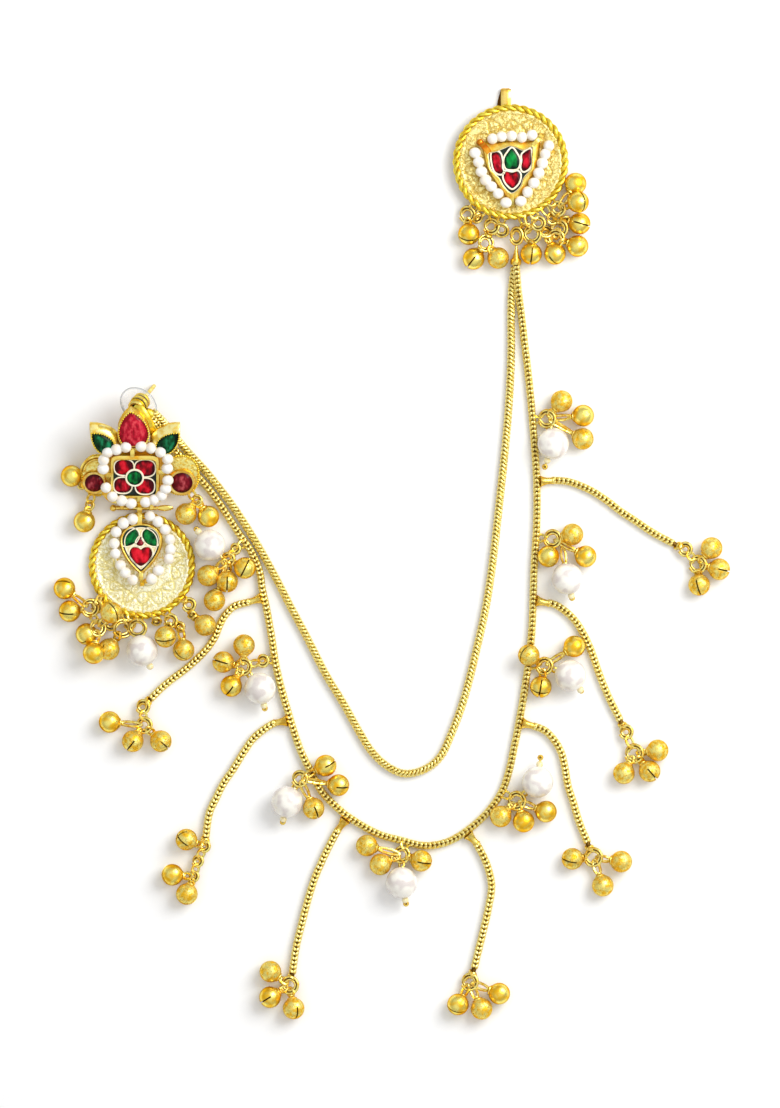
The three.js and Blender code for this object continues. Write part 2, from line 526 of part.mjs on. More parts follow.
bellBunch("ear_bell_left_upper", [[-79.6, 15.6, 0.8]], [[-80.2, 19.6]]);
bellBunch("ear_bell_left_lower", [[-75.2, 13.8, 0.9]], [[-77, 8.2]]);
bellBunch("ear_bells_right", [[-48.6, 14.6, 1.1]], [[-51.6, 9.9], [-45.9, 9.3]]);

// ---- ear drop: the disc that hangs from the hinge ----
const DROP_SETTING = { width: 11.6, length: 13.8, x: -0.3, y: 4.4 };
const DROP_SEED_ROWS = [
  { from: [-2.3, -3.9], bend: [-3.4, -2.9], to: [-4.5, -1.5], count: 2 },
  { from: [-5.8, 0.6], bend: [-10.2, 7.6], to: [-2.3, 12.1], count: 6 },
  { from: [1.9, 12.3], bend: [8.6, 8.6], to: [6.9, 1.8], count: 5 },
  { from: [5, -0.8], bend: [3.6, -2.6], to: [2.2, -4], count: 3 },
];
/** The drop setting's outline, point down when turned, made smaller for its pocket and its inlay. */
const dropTear = (inset) => teardrop(DROP_SETTING.width - 2 * inset, DROP_SETTING.length - 2.6 * inset);
const pointDown = (geometry) => geometry.rotateZ(Math.PI);
const dropWall = pointDown(setting(dropTear(0), dropTear(0.9)))
  .translate(DROP_SETTING.x, DROP_SETTING.y, 0);
const bailHole = HINGE.pinR + GAP;
const bailOuter = bailHole + HINGE.bailWall;
const bail = turned([
  [bailHole, -HINGE.bailWidth / 2], [bailOuter, -HINGE.bailWidth / 2], [bailOuter, HINGE.bailWidth / 2],
  [bailHole, HINGE.bailWidth / 2], [bailHole, -HINGE.bailWidth / 2],
], 12).rotateY(Math.PI / 2).translate(HINGE.bailX - DROP.x, HINGE.y - DROP.y, HINGE.z - DROP.z);
piece("drop_disc", solder([ropeDisc(DROP.radius), dropWall, bail]), "paleGold", dropGroup);
piece("drop_inlay", pointDown(raised(dropTear(1.27), 0, SETTING.tall / 2)), "cream", dropGroup,
  at(DROP_SETTING.x, DROP_SETTING.y, SETTING.inlayZ));
const dropSeedLift = 0.6; // this string rides higher on its disc than the hair disc's does
piece("drop_seed_pearls", seedString(seedPlaces(DROP_SEED_ROWS, SEED_Z + dropSeedLift)), "pearl", dropGroup);

bellBunch("drop_bells_left", [[-74.7, -13, 1.7], [-73.6, -18.4, 1.6], [-68.3, -19.2, 1.6]],
  [[-81.9, -8.6], [-80.6, -14.4], [-76.6, -20.2], [-75.2, -24.6, 5.2], [-70.6, -23.9], [-70.6, -14.6, 7.2]]);
bellBunch("drop_bells_right", [[-55.4, -17.4, 1.4], [-50.6, -13.8, 1.4]],
  [[-56.7, -20.8, 5.2], [-52.2, -23.8], [-47, -17.6]]);
pearlDrop("drop_pearl", [-62.5, -24.1], [-60.5, -29.8], [-62.9, -19]);

export default earring;
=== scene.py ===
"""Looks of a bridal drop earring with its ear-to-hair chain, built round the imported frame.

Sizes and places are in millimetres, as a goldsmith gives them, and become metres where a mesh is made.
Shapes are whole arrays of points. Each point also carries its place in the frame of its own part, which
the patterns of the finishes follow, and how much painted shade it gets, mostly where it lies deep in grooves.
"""

from __future__ import annotations

import logging
import math
from collections.abc import Iterable, Mapping, Sequence
from dataclasses import dataclass, field, replace
from enum import Enum
from functools import cached_property

import bpy
import numpy as np
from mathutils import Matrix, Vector


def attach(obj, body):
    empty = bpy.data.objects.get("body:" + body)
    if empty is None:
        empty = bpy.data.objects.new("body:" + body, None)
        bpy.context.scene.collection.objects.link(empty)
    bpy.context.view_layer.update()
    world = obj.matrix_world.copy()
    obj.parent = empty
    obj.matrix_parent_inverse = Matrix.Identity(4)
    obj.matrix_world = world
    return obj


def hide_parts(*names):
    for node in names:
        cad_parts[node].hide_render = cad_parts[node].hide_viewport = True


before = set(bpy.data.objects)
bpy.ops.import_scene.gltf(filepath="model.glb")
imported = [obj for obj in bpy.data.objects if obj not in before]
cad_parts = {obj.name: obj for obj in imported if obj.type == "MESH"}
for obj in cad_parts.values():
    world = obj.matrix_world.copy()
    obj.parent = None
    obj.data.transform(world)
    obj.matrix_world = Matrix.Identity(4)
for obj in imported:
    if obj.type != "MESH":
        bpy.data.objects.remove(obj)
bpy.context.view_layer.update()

LOG = logging.getLogger("earring")
MM = 0.001
EARRING = "earring"
DROP = "drop"
UP = np.array([0.0, 0.0, 1.0])
TABLE_GAP = 0.02  # least height of a shape that is lifted onto the table
SHARP = math.radians(50.0)  # edges steeper than this stay sharp
Array = np.ndarray
Colour = tuple[float, float, float]
Row = Sequence[float]  # a point, or a few measures
Rows = Sequence[Row]
Pair = tuple[float, float]
Spot = tuple[float, float, float]
Socket = bpy.types.NodeSocket
Settings = Mapping[str, object]
Values = Mapping[object, object]


# ---- shapes ----
def unit(vectors: Array) -> Array:
    """Each vector at length 1."""
    return vectors / np.linalg.norm(vectors, axis=-1, keepdims=True)


def about(axis: Array, angle: float) -> Array:
    """The turn by an angle about an axis, from Rodrigues' formula.

    Args:
        axis: Direction of the axis.
        angle: Angle in radians.

    Returns:
        A 3 x 3 matrix.
    """
    x, y, z = unit(np.asarray(axis, float))
    cross = np.array([[0, -z, y], [z, 0, -x], [-y, x, 0]])
    return np.eye(3) + math.sin(angle) * cross + (1 - math.cos(angle)) * cross @ cross


def facing(axis: Array, across: Array) -> Array:
    """The turn that brings Z onto an axis and X as near as it can to another direction.

    Args:
        axis: Where Z goes.
        across: Where X goes, less its share along the axis.

    Returns:
        A 3 x 3 matrix whose columns are the new X, Y and Z.
    """
    z = unit(np.asarray(axis, float))
    y = unit(np.cross(z, across))
    return np.stack([np.cross(y, z), y, z], axis=1)


@dataclass(frozen=True)
class Shape:
    """A closed skin of quads and triangles.

    Attributes:
        points: Places, one row each.
        quads: Rows of four point numbers.
        tris: Rows of three point numbers.
        own: Places in the part's own frame, for patterns.
        shade: Painted shade at each point, from 0 to 1, mostly in grooves, gaps, hollows and undersides.
    """

    points: Array
    quads: Array
    tris: Array
    own: Array
    shade: Array

    def copies(self, turns: Array, places: Array, seed: int = 0) -> Shape:
        """Copies of the shape, each with its own stretch of the pattern.

        Each copy's points are the shape's points times its matrix, plus its place.

        Args:
            turns: Matrices, one 3 x 3 for each copy.
            places: Where each copy's origin goes.
            seed: Seed of the pattern's shifts.

        Returns:
            One shape that holds all copies.
        """
        count, size = len(places), len(self.points)
        shifts = np.random.default_rng(seed).uniform(-40, 40, (count, 1, 3))
        numbers = (np.arange(count) * size)[:, None, None]
        return Shape(
            (self.points @ np.swapaxes(turns, 1, 2) + places[:, None]).reshape(-1, 3),
            (self.quads + numbers).reshape(-1, 4),
            (self.tris + numbers).reshape(-1, 3),
            (self.own + shifts).reshape(-1, 3),
            np.tile(self.shade, count),
        )

    def moved(self, turn: Array, place: Row, seed: int = 0) -> Shape:
        """One copy of the shape, turned and moved."""
        return self.copies(np.asarray(turn)[None], np.asarray(place, float)[None], seed)

    def at(self, *place: float) -> Shape:
        """The shape moved to a place, with its pattern as it was."""
        return Shape(self.points + np.array(place), self.quads, self.tris, self.own, self.shade)

    def unshaded(self) -> Shape:
        """The shape without its painted shade."""
        return replace(self, shade=0 * self.shade)

    def lifted(self) -> Shape:
        """The shape, raised onto the table where it would dip below it."""
        return self.at(0, 0, max(0.0, TABLE_GAP - float(self.points[:, 2].min())))


def joined(shapes: Iterable[Shape]) -> Shape:
    """Several shapes as one: all their points in a row, and their faces on them.

    Args:
        shapes: The shapes.

    Returns:
        One shape.
    """
    parts = list(shapes)
    starts = np.cumsum([0] + [len(part.points) for part in parts[:-1]])
    return Shape(
        np.concatenate([part.points for part in parts]),
        np.concatenate([part.quads + start for part, start in zip(parts, starts)]),
        np.concatenate([part.tris + start for part, start in zip(parts, starts)]),
        np.concatenate([part.own for part in parts]),
        np.concatenate([part.shade for part in parts]),
    )


def skin_of(grid: Array, ends: Array | None = None, shade: Array | None = None) -> Shape:
    """A closed skin over rows of rings.

    Quads join each ring to the next. With ends, a fan closes each end ring onto its end point, and
    without them the last ring joins the first. Faces are turned round if the volume that they hold is
    negative, so that they point out.

    Args:
        grid: Points as rows, places round the ring, coordinates.
        ends: The points that the first and the last ring close onto.
        shade: Painted shade, rows by places.

    Returns:
        The shape.
    """
    rows, around = grid.shape[:2]
    ids = np.arange(rows * around).reshape(rows, around)
    low = ids if ends is None else ids[:-1]
    high = np.roll(ids, -1, 0) if ends is None else ids[1:]
    quads = np.stack([low, np.roll(low, -1, 1), np.roll(high, -1, 1), high], -1).reshape(-1, 4)
    points = grid.reshape(-1, 3)
    depth = np.zeros(rows * around) if shade is None else shade.reshape(-1)
    tris = np.zeros((0, 3), int)
    if ends is not None:
        first, last = ids[0], ids[-1]
        pole = np.full(around, rows * around)
        tris = np.concatenate([
            np.stack([np.roll(first, -1), first, pole], -1),
            np.stack([last, np.roll(last, -1), pole + 1], -1),
        ])
        points = np.concatenate([points, ends])
        depth = np.concatenate([depth, [0.0, 0.0]])
    split = np.concatenate([quads[:, [0, 1, 2]], quads[:, [0, 2, 3]], tris])
    a, b, c = (points[split[:, i]] for i in range(3))
    if np.einsum("ij,ij->", a, np.cross(b, c)) < 0:
        quads, tris = quads[:, ::-1], tris[:, ::-1]
    return Shape(points, quads, tris, points, depth)


def circle(count: int, radius: float = 1.0) -> Array:
    """Points round a circle: radius times cosine and sine of even angles."""
    angles = np.arange(count) * 2 * math.pi / count
    return radius * np.stack([np.cos(angles), np.sin(angles)], -1)


def turned(profile: Rows, around: int) -> Shape:
    """A profile turned about Z: each [radius, height] becomes a ring.

    Args:
        profile: Rows of radius and height. The first and the last lie on the axis.
        around: Places round each ring.

    Returns:
        The shape.
    """
    rows = np.asarray(profile, float)
    rings = circle(around)[None] * rows[1:-1, None, :1]
    heights = np.broadcast_to(rows[1:-1, None, 1:], (len(rows) - 2, around, 1))
    ends = np.array([[0, 0, rows[0, 1]], [0, 0, rows[-1, 1]]])
    return skin_of(np.concatenate([rings, heights], -1), ends)


def ball(radius: float, around: int, down: int) -> Shape:
    """A ball: a half circle turned about Z."""
    angles = np.linspace(-math.pi / 2, math.pi / 2, down + 1)
    return turned(radius * np.stack([np.cos(angles).clip(0), np.sin(angles)], -1), around)


def directions(path: Array, closed: bool) -> Array:
    """Unit tangents of a path, from the points before and after each."""
    if closed:
        return unit(np.roll(path, -1, 0) - np.roll(path, 1, 0))
    return unit(np.gradient(path, axis=0))


def swept(
    path: Array,
    section: Array,
    reference: Array = UP,
    closed: bool = False,
    scale: Array | None = None,
) -> Shape:
    """A section carried along a path.

    The section's x runs along tangent x reference and its y along the direction square to both. Each
    step's section is scaled first.

    Args:
        path: Points of the path, one row each.
        section: Points of the section, x and y, one row each.
        reference: A direction that the path never runs along, or one for each step.
        closed: Whether the path is a loop.
        scale: Size of the section at each step.

    Returns:
        The shape.
    """
    along = directions(path, closed)
    side = unit(np.cross(along, reference))
    over = np.cross(side, along)
    size = np.ones(len(path)) if scale is None else scale
    x, y = size[:, None] * section[:, 0], size[:, None] * section[:, 1]
    grid = path[:, None] + x[..., None] * side[:, None] + y[..., None] * over[:, None]
    return skin_of(grid, None if closed else path[[0, -1]])


def rod(start: Row, end: Row, radii: Row, sides: int) -> Shape:
    """A round rod whose radius runs through a few values from start to end.

    Args:
        start: Middle of the first end.
        end: Middle of the last end.
        radii: Radius at even steps along it.
        sides: Places round it.

    Returns:
        The shape.
    """
    along = np.linspace(0, 1, len(radii))[:, None]
    path = np.asarray(start, float) * (1 - along) + np.asarray(end, float) * along
    reference = UP if abs(unit(path[-1] - path[0])[2]) < 0.9 else np.array([1.0, 0, 0])
    return swept(path, circle(sides), reference, scale=np.asarray(radii, float))


def ribbon(path: Rows, width: float, thick: float, steps: int = 8) -> Shape:
    """A flat strip with soft edges along a smooth route, its width level."""
    return swept(smooth(path, steps), rounded_square(width, thick, 16))


def smooth(points: Rows, per_span: int = 12, closed: bool = False) -> Array:
    """A centripetal Catmull-Rom curve through points.

    Each span is a Hermite curve whose end slopes come from its neighbours, with knots spaced by the
    square root of the distances. The ends of an open curve are mirrored to give the missing neighbours.

    Args:
        points: Points that the curve passes through, of two or three coordinates.
        per_span: Steps in each span.
        closed: Whether the last point joins the first.

    Returns:
        Points of the curve, one row each.
    """
    given = np.asarray(points, float)
    if closed:
        knots = np.concatenate([given[-1:], given, given[:2]])
    else:
        knots = np.concatenate([2 * given[:1] - given[1:2], given, 2 * given[-1:] - given[-2:-1]])
    gaps = np.sqrt(np.linalg.norm(np.diff(knots, axis=0), axis=1))[:, None]
    before, first, second, after = knots[:-3], knots[1:-2], knots[2:-1], knots[3:]
    d0, d1, d2 = gaps[:-2], gaps[1:-1], gaps[2:]
    leave = d1 * ((first - before) / d0 - (second - before) / (d0 + d1) + (second - first) / d1)
    reach = d1 * ((second - first) / d1 - (after - first) / (d1 + d2) + (after - second) / d2)
    t = (np.arange(per_span) / per_span)[None, :, None]
    spans = (
        (2 * t**3 - 3 * t**2 + 1) * first[:, None]
        + (t**3 - 2 * t**2 + t) * leave[:, None]
        + (3 * t**2 - 2 * t**3) * second[:, None]
        + (t**3 - t**2) * reach[:, None]
    ).reshape(-1, given.shape[1])
    return spans if closed else np.concatenate([spans, given[-1:]])


def eased(value: Array, low: float, high: float) -> Array:
    """0 up to low and 1 from high on, eased between: 3 s^2 - 2 s^3."""
    share = ((value - low) / (high - low)).clip(0, 1)
    return share * share * (3 - 2 * share)


def by_length(route: Array, distances: Array) -> Array:
    """Points of a route at distances along it."""
    lengths = np.concatenate([[0], np.cumsum(np.linalg.norm(np.diff(route, axis=0), axis=1))])
    return np.stack([np.interp(distances, lengths, column) for column in route.T], -1)


def length_of(route: Array) -> float:
    """The length of a route."""
    return float(np.linalg.norm(np.diff(route, axis=0), axis=1).sum())


# ---- outlines, as closed rows of x and y ----
def rounded_square(width: float, height: float, count: int = 64, power: float = 6.0) -> Array:
    """A superellipse: |2x / width|^power + |2y / height|^power = 1, at even angles.

    Args:
        width: Measure along x.
        height: Measure along y.
        count: Points.
        power: 2 for an ellipse, more for squarer corners.

    Returns:
        The outline.
    """
    way = circle(count)
    reach = np.abs(2 * way[:, 0] / width) ** power + np.abs(2 * way[:, 1] / height) ** power
    return way * (reach ** (-1 / power))[:, None]


def teardrop(width: float, length: float, point: float = 1.0, count: int = 64) -> Array:
    """A drop with its point on +Y: x follows sin t sin^point(t / 2), y follows cos t.

    Args:
        width: Widest measure.
        length: Length from end to end.
        point: 0 for an ellipse, 1 for a straight-sided point.
        count: Points.

    Returns:
        The outline.
    """
    t = np.arange(count) * 2 * math.pi / count
    x = np.sin(t) * np.abs(np.sin(t / 2)) ** point
    return np.stack([-x * width / (2 * x.max()), np.cos(t) * length / 2], -1)


def fat_heart(width: float, height: float) -> Array:
    """A full heart with its point on -Y: a smooth line through seven points a side.

    Args:
        width: Measure along x.
        height: Measure along y.

    Returns:
        The outline.
    """
    side = [(0.22, 0.44), (0.46, 0.5), (0.78, 0.46), (0.98, 0.22), (1.0, -0.08), (0.78, -0.42), (0.38, -0.76)]
    left = [(-x, y) for x, y in reversed(side)]
    ring = smooth([(0, 0.32), *side, (0, -0.92), *left], 4, closed=True)
    ring = (ring - (ring.max(0) + ring.min(0)) / 2) / np.ptp(ring, axis=0)
    return ring * (width, height)


def placed(outline: Array, x: float, y: float, turn: float = 0.0) -> Array:
    """An outline turned by degrees and moved to a place."""
    angle = math.radians(turn)
    spin = np.array([[math.cos(angle), math.sin(angle)], [-math.sin(angle), math.cos(angle)]])
    return outline @ spin + (x, y)


def inset(outline: Array, by: float) -> Array:
    """An outline moved along its normals.

    Args:
        outline: The closed outline.
        by: Distance inwards, or outwards if it is less than nothing.

    Returns:
        The new outline, point for point.
    """
    along = unit(np.roll(outline, -1, 0) - np.roll(outline, 1, 0))
    normals = np.stack([along[:, 1], -along[:, 0]], -1)
    turning = outline[:, 0] @ np.roll(outline[:, 1], -1) - outline[:, 1] @ np.roll(outline[:, 0], -1)
    return outline - by * np.sign(turning) * normals


def lofted(outlines: Sequence[Array], heights: Row) -> Shape:
    """A closed rim through outlines of as many points each, the last joined to the first."""
    rings = [np.column_stack([outline, np.full(len(outline), z)]) for outline, z in zip(outlines, heights)]
    return skin_of(np.stack(rings))


def bead_line(outline: Array, width: float, low: float, tall: float) -> Shape:
    """A line with a nearly flat top on an outline, over a flat foot.

    Args:
        outline: The closed outline that its middle follows.
        width: Its width.
        low: Height of its foot.
        tall: Its height over its foot.

    Returns:
        The shape.
    """
    arch = np.array([(-1, 0), (-0.85, 0.85), (-0.5, 1), (0.5, 1), (0.85, 0.85), (1, 0)])
    outlines = [inset(outline, by) for by in (*arch[:, 0] * (width / 2), 0)]
    return lofted(outlines, [*(low + arch[:, 1] * tall), low - 0.1])


def cushion(
    outline: Array, low: float, edge: float, crown: float, power: float = 2.0, steps: int = 7
) -> Shape:
    """A stone or a plate: an outline drawn in to its middle while it rises, with painted shade near the
    outline.

    The height is edge + crown (1 - s^power), where s runs from 1 at the outline to 0 in the middle.

    Args:
        outline: The closed outline.
        low: Height of the flat back.
        edge: Height of the edge.
        crown: Rise from the edge to the middle.
        power: How full the dome is.
        steps: Rings on the dome.

    Returns:
        The shape.
    """
    middle = (outline.max(0) + outline.min(0)) / 2
    shares = np.cos(np.linspace(0, math.pi / 2, steps + 1))[:-1]
    heights = edge + crown * (1 - shares**power)
    shares, heights = np.append([1.0], shares), np.append([low], heights)
    # painted shade near the outline, for the dark edge of a set stone
    shade = np.repeat(0.9 * eased(shares, 0.62, 0.93)[:, None], len(outline), 1)
    flat = middle + shares[:, None, None] * (outline - middle)
    grid = np.concatenate([flat, np.broadcast_to(heights[:, None, None], (*flat.shape[:2], 1))], -1)
    return skin_of(grid, np.array([[*middle, low], [*middle, edge + crown]]), shade)


# ---- pieces ----
class Piece:
    """One visible piece: shapes gathered by finish, made one mesh."""

    def __init__(self, name: str) -> None:
        """Starts an empty piece with its name."""
        self.name = name
        self.shapes: list[tuple[Shape, Finish]] = []

    def add(self, finish: Finish, *shapes: Shape) -> Piece:
        """Adds shapes in one finish and gives the piece back."""
        self.shapes += [(shape, finish) for shape in shapes]
        return self

    def make(self, body: str, slot: str, *nodes: str) -> None:
        """Makes the mesh, dresses it and hangs it on its body.

        Args:
            body: The body that it moves with.
            slot: The record's material slot; not used.
            nodes: The plain nodes that it stands for.
        """
        whole = joined(shape for shape, _ in self.shapes)
        finishes = list(dict.fromkeys(finish for _, finish in self.shapes))
        quads, tris = len(whole.quads), len(whole.tris)
        mesh = bpy.data.meshes.new(self.name)
        mesh.vertices.add(len(whole.points))
        mesh.vertices.foreach_set("co", (whole.points * MM).astype(np.float32).ravel())
        mesh.loops.add(4 * quads + 3 * tris)
        mesh.loops.foreach_set("vertex_index", np.concatenate([whole.quads.ravel(), whole.tris.ravel()]))
        mesh.polygons.add(quads + tris)
        starts = np.concatenate([4 * np.arange(quads), 4 * quads + 3 * np.arange(tris)])
        mesh.polygons.foreach_set("loop_start", starts)
        numbers = [finishes.index(finish) for _, finish in self.shapes]
        by_quad = np.repeat(numbers, [len(shape.quads) for shape, _ in self.shapes])
        by_tri = np.repeat(numbers, [len(shape.tris) for shape, _ in self.shapes])
        mesh.polygons.foreach_set("material_index", np.concatenate([by_quad, by_tri]).astype(np.int32))
        mesh.update(calc_edges=True)
        mesh.shade_smooth()
        mesh.set_sharp_from_angle(angle=SHARP)
        own = mesh.attributes.new("own", "FLOAT_VECTOR", "POINT")
        own.data.foreach_set("vector", whole.own.astype(np.float32).ravel())
        shade = mesh.attributes.new("shade", "FLOAT", "POINT")
        shade.data.foreach_set("value", whole.shade.astype(np.float32))
        for finish in finishes:
            mesh.materials.append(finish.material)
        piece = bpy.data.objects.new(self.name, mesh)
        bpy.context.scene.collection.objects.link(piece)
        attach(piece, body)
        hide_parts(*nodes)
        LOG.info("%s: %d triangles on %s for %s", self.name, 2 * quads + tris, body, nodes)


# ---- shader maths ----
class Wire:
    """A number socket that ordinary operators work on."""

    def __init__(self, bench: Bench, socket: Socket) -> None:
        """Wraps a socket of a bench's material."""
        self.bench = bench
        self.socket = socket

    def maths(self, operation: str, *others: Wire | float) -> Wire:
        """A Math node on this value and others."""
        return self.bench.wire("ShaderNodeMath", {"operation": operation}, dict(enumerate((self, *others))))

    def __add__(self, other: Wire | float) -> Wire:
        """self + other."""
        return self.maths("ADD", other)

    __radd__ = __add__

    def __mul__(self, other: Wire | float) -> Wire:
        """self * other."""
        return self.maths("MULTIPLY", other)

    __rmul__ = __mul__

    def __sub__(self, other: Wire | float) -> Wire:
        """self - other."""
        return self.maths("SUBTRACT", other)

    def __rsub__(self, other: float) -> Wire:
        """other - self."""
        return self * -1.0 + other

    def between(self, low: float, high: float) -> Wire:
        """0 at low, 1 at high, smooth between."""
        settings = {"interpolation_type": "SMOOTHSTEP"}
        ends = {"Value": self, "From Min": low, "From Max": high}
        return self.bench.wire("ShaderNodeMapRange", settings, ends)


class Bench:
    """Where one material's nodes are put together."""

    def __init__(self, name: str) -> None:
        """Starts a material with nothing but its output."""
        self.material = bpy.data.materials.new(name)
        self.material.use_nodes = True
        self.tree = self.material.node_tree
        self.tree.nodes.clear()
        self.output = self.node("ShaderNodeOutputMaterial")

    def node(
        self, kind: str, settings: Settings | None = None, values: Values | None = None
    ) -> bpy.types.Node:
        """A node with its settings, then its sockets' values or links.

        Args:
            kind: The node's type.
            settings: Properties by name. stops gives a ramp's places and colours.
            values: Socket values by name or number: a Wire, a socket, or a constant.

        Returns:
            The node.
        """
        made = self.tree.nodes.new(kind)
        for name, setting in (settings or {}).items():
            if name == "stops":
                self.set_stops(made.color_ramp, setting)
            else:
                setattr(made, name, setting)
        for key, value in (values or {}).items():
            source = value.socket if isinstance(value, Wire) else value
            if isinstance(source, Socket):
                self.tree.links.new(source, made.inputs[key])
            else:
                made.inputs[key].default_value = source
        return made

    @staticmethod
    def set_stops(ramp: bpy.types.ColorRamp, stops: Sequence[tuple[float, Colour]]) -> None:
        """Gives a ramp its places and colours."""
        while len(ramp.elements) < len(stops):
            ramp.elements.new(1.0)
        for element, (place, colour) in zip(ramp.elements, stops):
            element.position = place
            element.color = rgba(colour)

    def wire(self, kind: str, settings: Settings | None, values: Values) -> Wire:
        """The first output of a new node as a Wire."""
        return Wire(self, self.node(kind, settings, values).outputs[0])

    def own(self) -> Socket:
        """Each point's place in its part's own frame, in millimetres."""
        return self.node("ShaderNodeAttribute", {"attribute_name": "own"}).outputs["Vector"]

    def shade(self) -> Wire:
        """The painted shade of each point, deepest in grooves."""
        return Wire(self, self.node("ShaderNodeAttribute", {"attribute_name": "shade"}).outputs["Fac"])

    def stretched(self, scale: Colour) -> Socket:
        """The own place stretched along its axes."""
        return self.node("ShaderNodeMapping", None, {"Vector": self.own(), "Scale": scale}).outputs[0]

    def noise(self, size: float, detail: float = 3.0, place: Socket | None = None) -> Wire:
        """Cloudy noise with features of a size in millimetres."""
        values = {"Vector": place or self.own(), "Scale": 1 / size, "Detail": detail}
        return self.wire("ShaderNodeTexNoise", None, values)

    def mix(self, factor: Wire, first: Socket | Colour, second: Socket | Colour) -> Socket:
        """A colour between two, by a factor."""
        first, second = (rgba(end) if isinstance(end, tuple) else end for end in (first, second))
        return self.node("ShaderNodeMix", {"data_type": "RGBA"}, {0: factor, 6: first, 7: second}).outputs[2]

    def ramp(self, factor: Wire, stops: Sequence[tuple[float, Colour]]) -> Socket:
        """A colour from a row of stops."""
        return self.node("ShaderNodeValToRGB", {"stops": stops}, {0: factor}).outputs[0]

    def bumped(self, height: Wire, millimetres: float) -> Socket:
        """A normal from a height that runs over so many millimetres."""
        values = {"Height": height, "Distance": millimetres * MM, "Strength": 1.0}
        return self.node("ShaderNodeBump", None, values).outputs[0]

    def surface(self, values: Values) -> bpy.types.Material:
        """Ends the material with a Principled shader."""
        shader = self.node("ShaderNodeBsdfPrincipled", None, values)
        self.tree.links.new(shader.outputs[0], self.output.inputs[0])
        return self.material


def rgba(colour: Colour) -> tuple[float, ...]:
    """A colour with full cover."""
    return (*colour, 1.0)


# ---- finishes ----
@dataclass(frozen=True)
class Finish:
    """A surface finish. The material is made the first time that it is asked for."""

    name: str

    @cached_property
    def material(self) -> bpy.types.Material:
        """The Blender material of this finish."""
        return self.build(Bench(self.name))

    def build(self, bench: Bench) -> bpy.types.Material:
        """Puts the nodes together.

        Args:
            bench: The bench of a new material with this finish's name.

        Returns:
            The material.
        """
        raise NotImplementedError


@dataclass(frozen=True)
class Gold(Finish):
    """Gold plate.

    Attributes:
        deep: Colour where the plate is worn or dull.
        bright: Colour where it is clean.
        groove: Colour of the painted shade in grooves, gaps and undersides.
        rim: Tint where the surface turns away.
        roughness: Roughness where it is clean.
        dullness: How much rougher it is where dull.
        cloud: Size of the patches in millimetres.
        grain: Size of the fine marks in millimetres.
        mark: Depth of the fine marks in millimetres.
        stroke: How the fine marks are stretched along the part's own axes.
        chased: Size of the chased scribbles in millimetres, or 0 for none.
    """

    deep: Colour = (0.82, 0.49, 0.075)
    bright: Colour = (0.98, 0.74, 0.21)
    groove: Colour = (0.15, 0.06, 0.01)
    rim: Colour = (0.55, 0.30, 0.06)
    roughness: float = 0.2
    dullness: float = 0.15
    cloud: float = 1.6
    grain: float = 0.25
    mark: float = 0.01
    stroke: Colour = (1.0, 1.0, 1.0)
    chased: float = 0.0

    def build(self, bench: Bench) -> bpy.types.Material:
        """Clouds mix deep and bright gold, painted shade darkens it in grooves and chased lines, fine marks
        bump it.
        """
        cloud = bench.noise(self.cloud).between(0.34, 0.62)
        marks = bench.noise(self.grain, 2.0, bench.stretched(self.stroke))
        shade = bench.shade()
        if self.chased:
            level = bench.noise(self.chased, 2.0, bench.stretched((1.0, 0.5, 1.6)))
            scribble = (level - 0.5).maths("ABSOLUTE").between(0.0, 0.035)
            # the chased lines get painted shade, as grooves do
            shade = shade + 0.5 * (1.0 - scribble)
            marks = marks + scribble
        plate = bench.mix(cloud, self.deep, self.bright)
        # painted shade: the colour turns to the dark groove colour where the shade attribute is high
        colour = bench.mix(shade.between(0.05, 0.85), plate, self.groove)
        roughness = self.roughness + self.dullness * (1.0 - cloud) + 0.12 * marks + 0.35 * shade
        return bench.surface({
            "Base Color": colour,
            "Metallic": 1.0,
            "Specular Tint": rgba(self.rim),
            "Roughness": roughness,
            "Normal": bench.bumped(marks + 0.6 * bench.noise(3 * self.grain), self.mark),
        })


@dataclass(frozen=True)
class CoinGold(Finish):
    """Stamped pale gold, frosted, with scribbled lines, and painted shade, deeper yellow, in its sunk
    stamping and along its rope.
    """

    pale: Colour = (0.99, 0.90, 0.38)
    yellow: Colour = (0.58, 0.35, 0.03)
    line: float = 1.0

    def build(self, bench: Bench) -> bpy.types.Material:
        """Warped ridges scribble over clouds: the lines are deeper yellow and sunk."""
        warp = bench.noise(2.2, 2.0)
        ridges = bench.noise(self.line, 4.0)
        scribble = (ridges + 0.35 * warp - 0.67).maths("ABSOLUTE").between(0.005, 0.06)
        frost = bench.noise(0.28, 2.0)
        tone = (0.5 * scribble + 0.6 * frost + 0.7 * warp - 0.38).between(0.0, 1.0)
        shade = bench.shade()
        # painted shade: the sunk stamping and the ring under the rope turn deeper yellow
        colour = bench.mix(shade * 0.85, bench.mix(tone, self.yellow, self.pale), self.yellow)
        return bench.surface({
            "Base Color": colour,
            "Metallic": 0.75,
            "Roughness": 0.34 + 0.22 * frost,
            "Normal": bench.bumped(scribble * 0.7 + frost * 0.35 + warp, 0.09),
        })


@dataclass(frozen=True)
class Pearl(Finish):
    """Imitation pearl: white with faint pink and cream clouds under a clear coat."""

    white: Colour
    blush: Colour
    size: float

    def build(self, bench: Bench) -> bpy.types.Material:
        """Broad clouds tint the white a little and vary its gloss."""
        cloud = bench.noise(self.size, 0.5).between(0.40, 0.66)
        grain = bench.noise(self.size / 12, 3.0)
        return bench.surface({
            "Base Color": bench.mix(cloud * 0.85, self.white, self.blush),
            "Roughness": 0.22 + 0.12 * grain,
            "Specular IOR Level": 0.6,
            "Coat Weight": 0.5,
            "Coat Roughness": 0.08,
            "Sheen Weight": 0.2,
            "Sheen Tint": rgba(self.blush),
            "Normal": bench.bumped(grain, 0.006),
        })


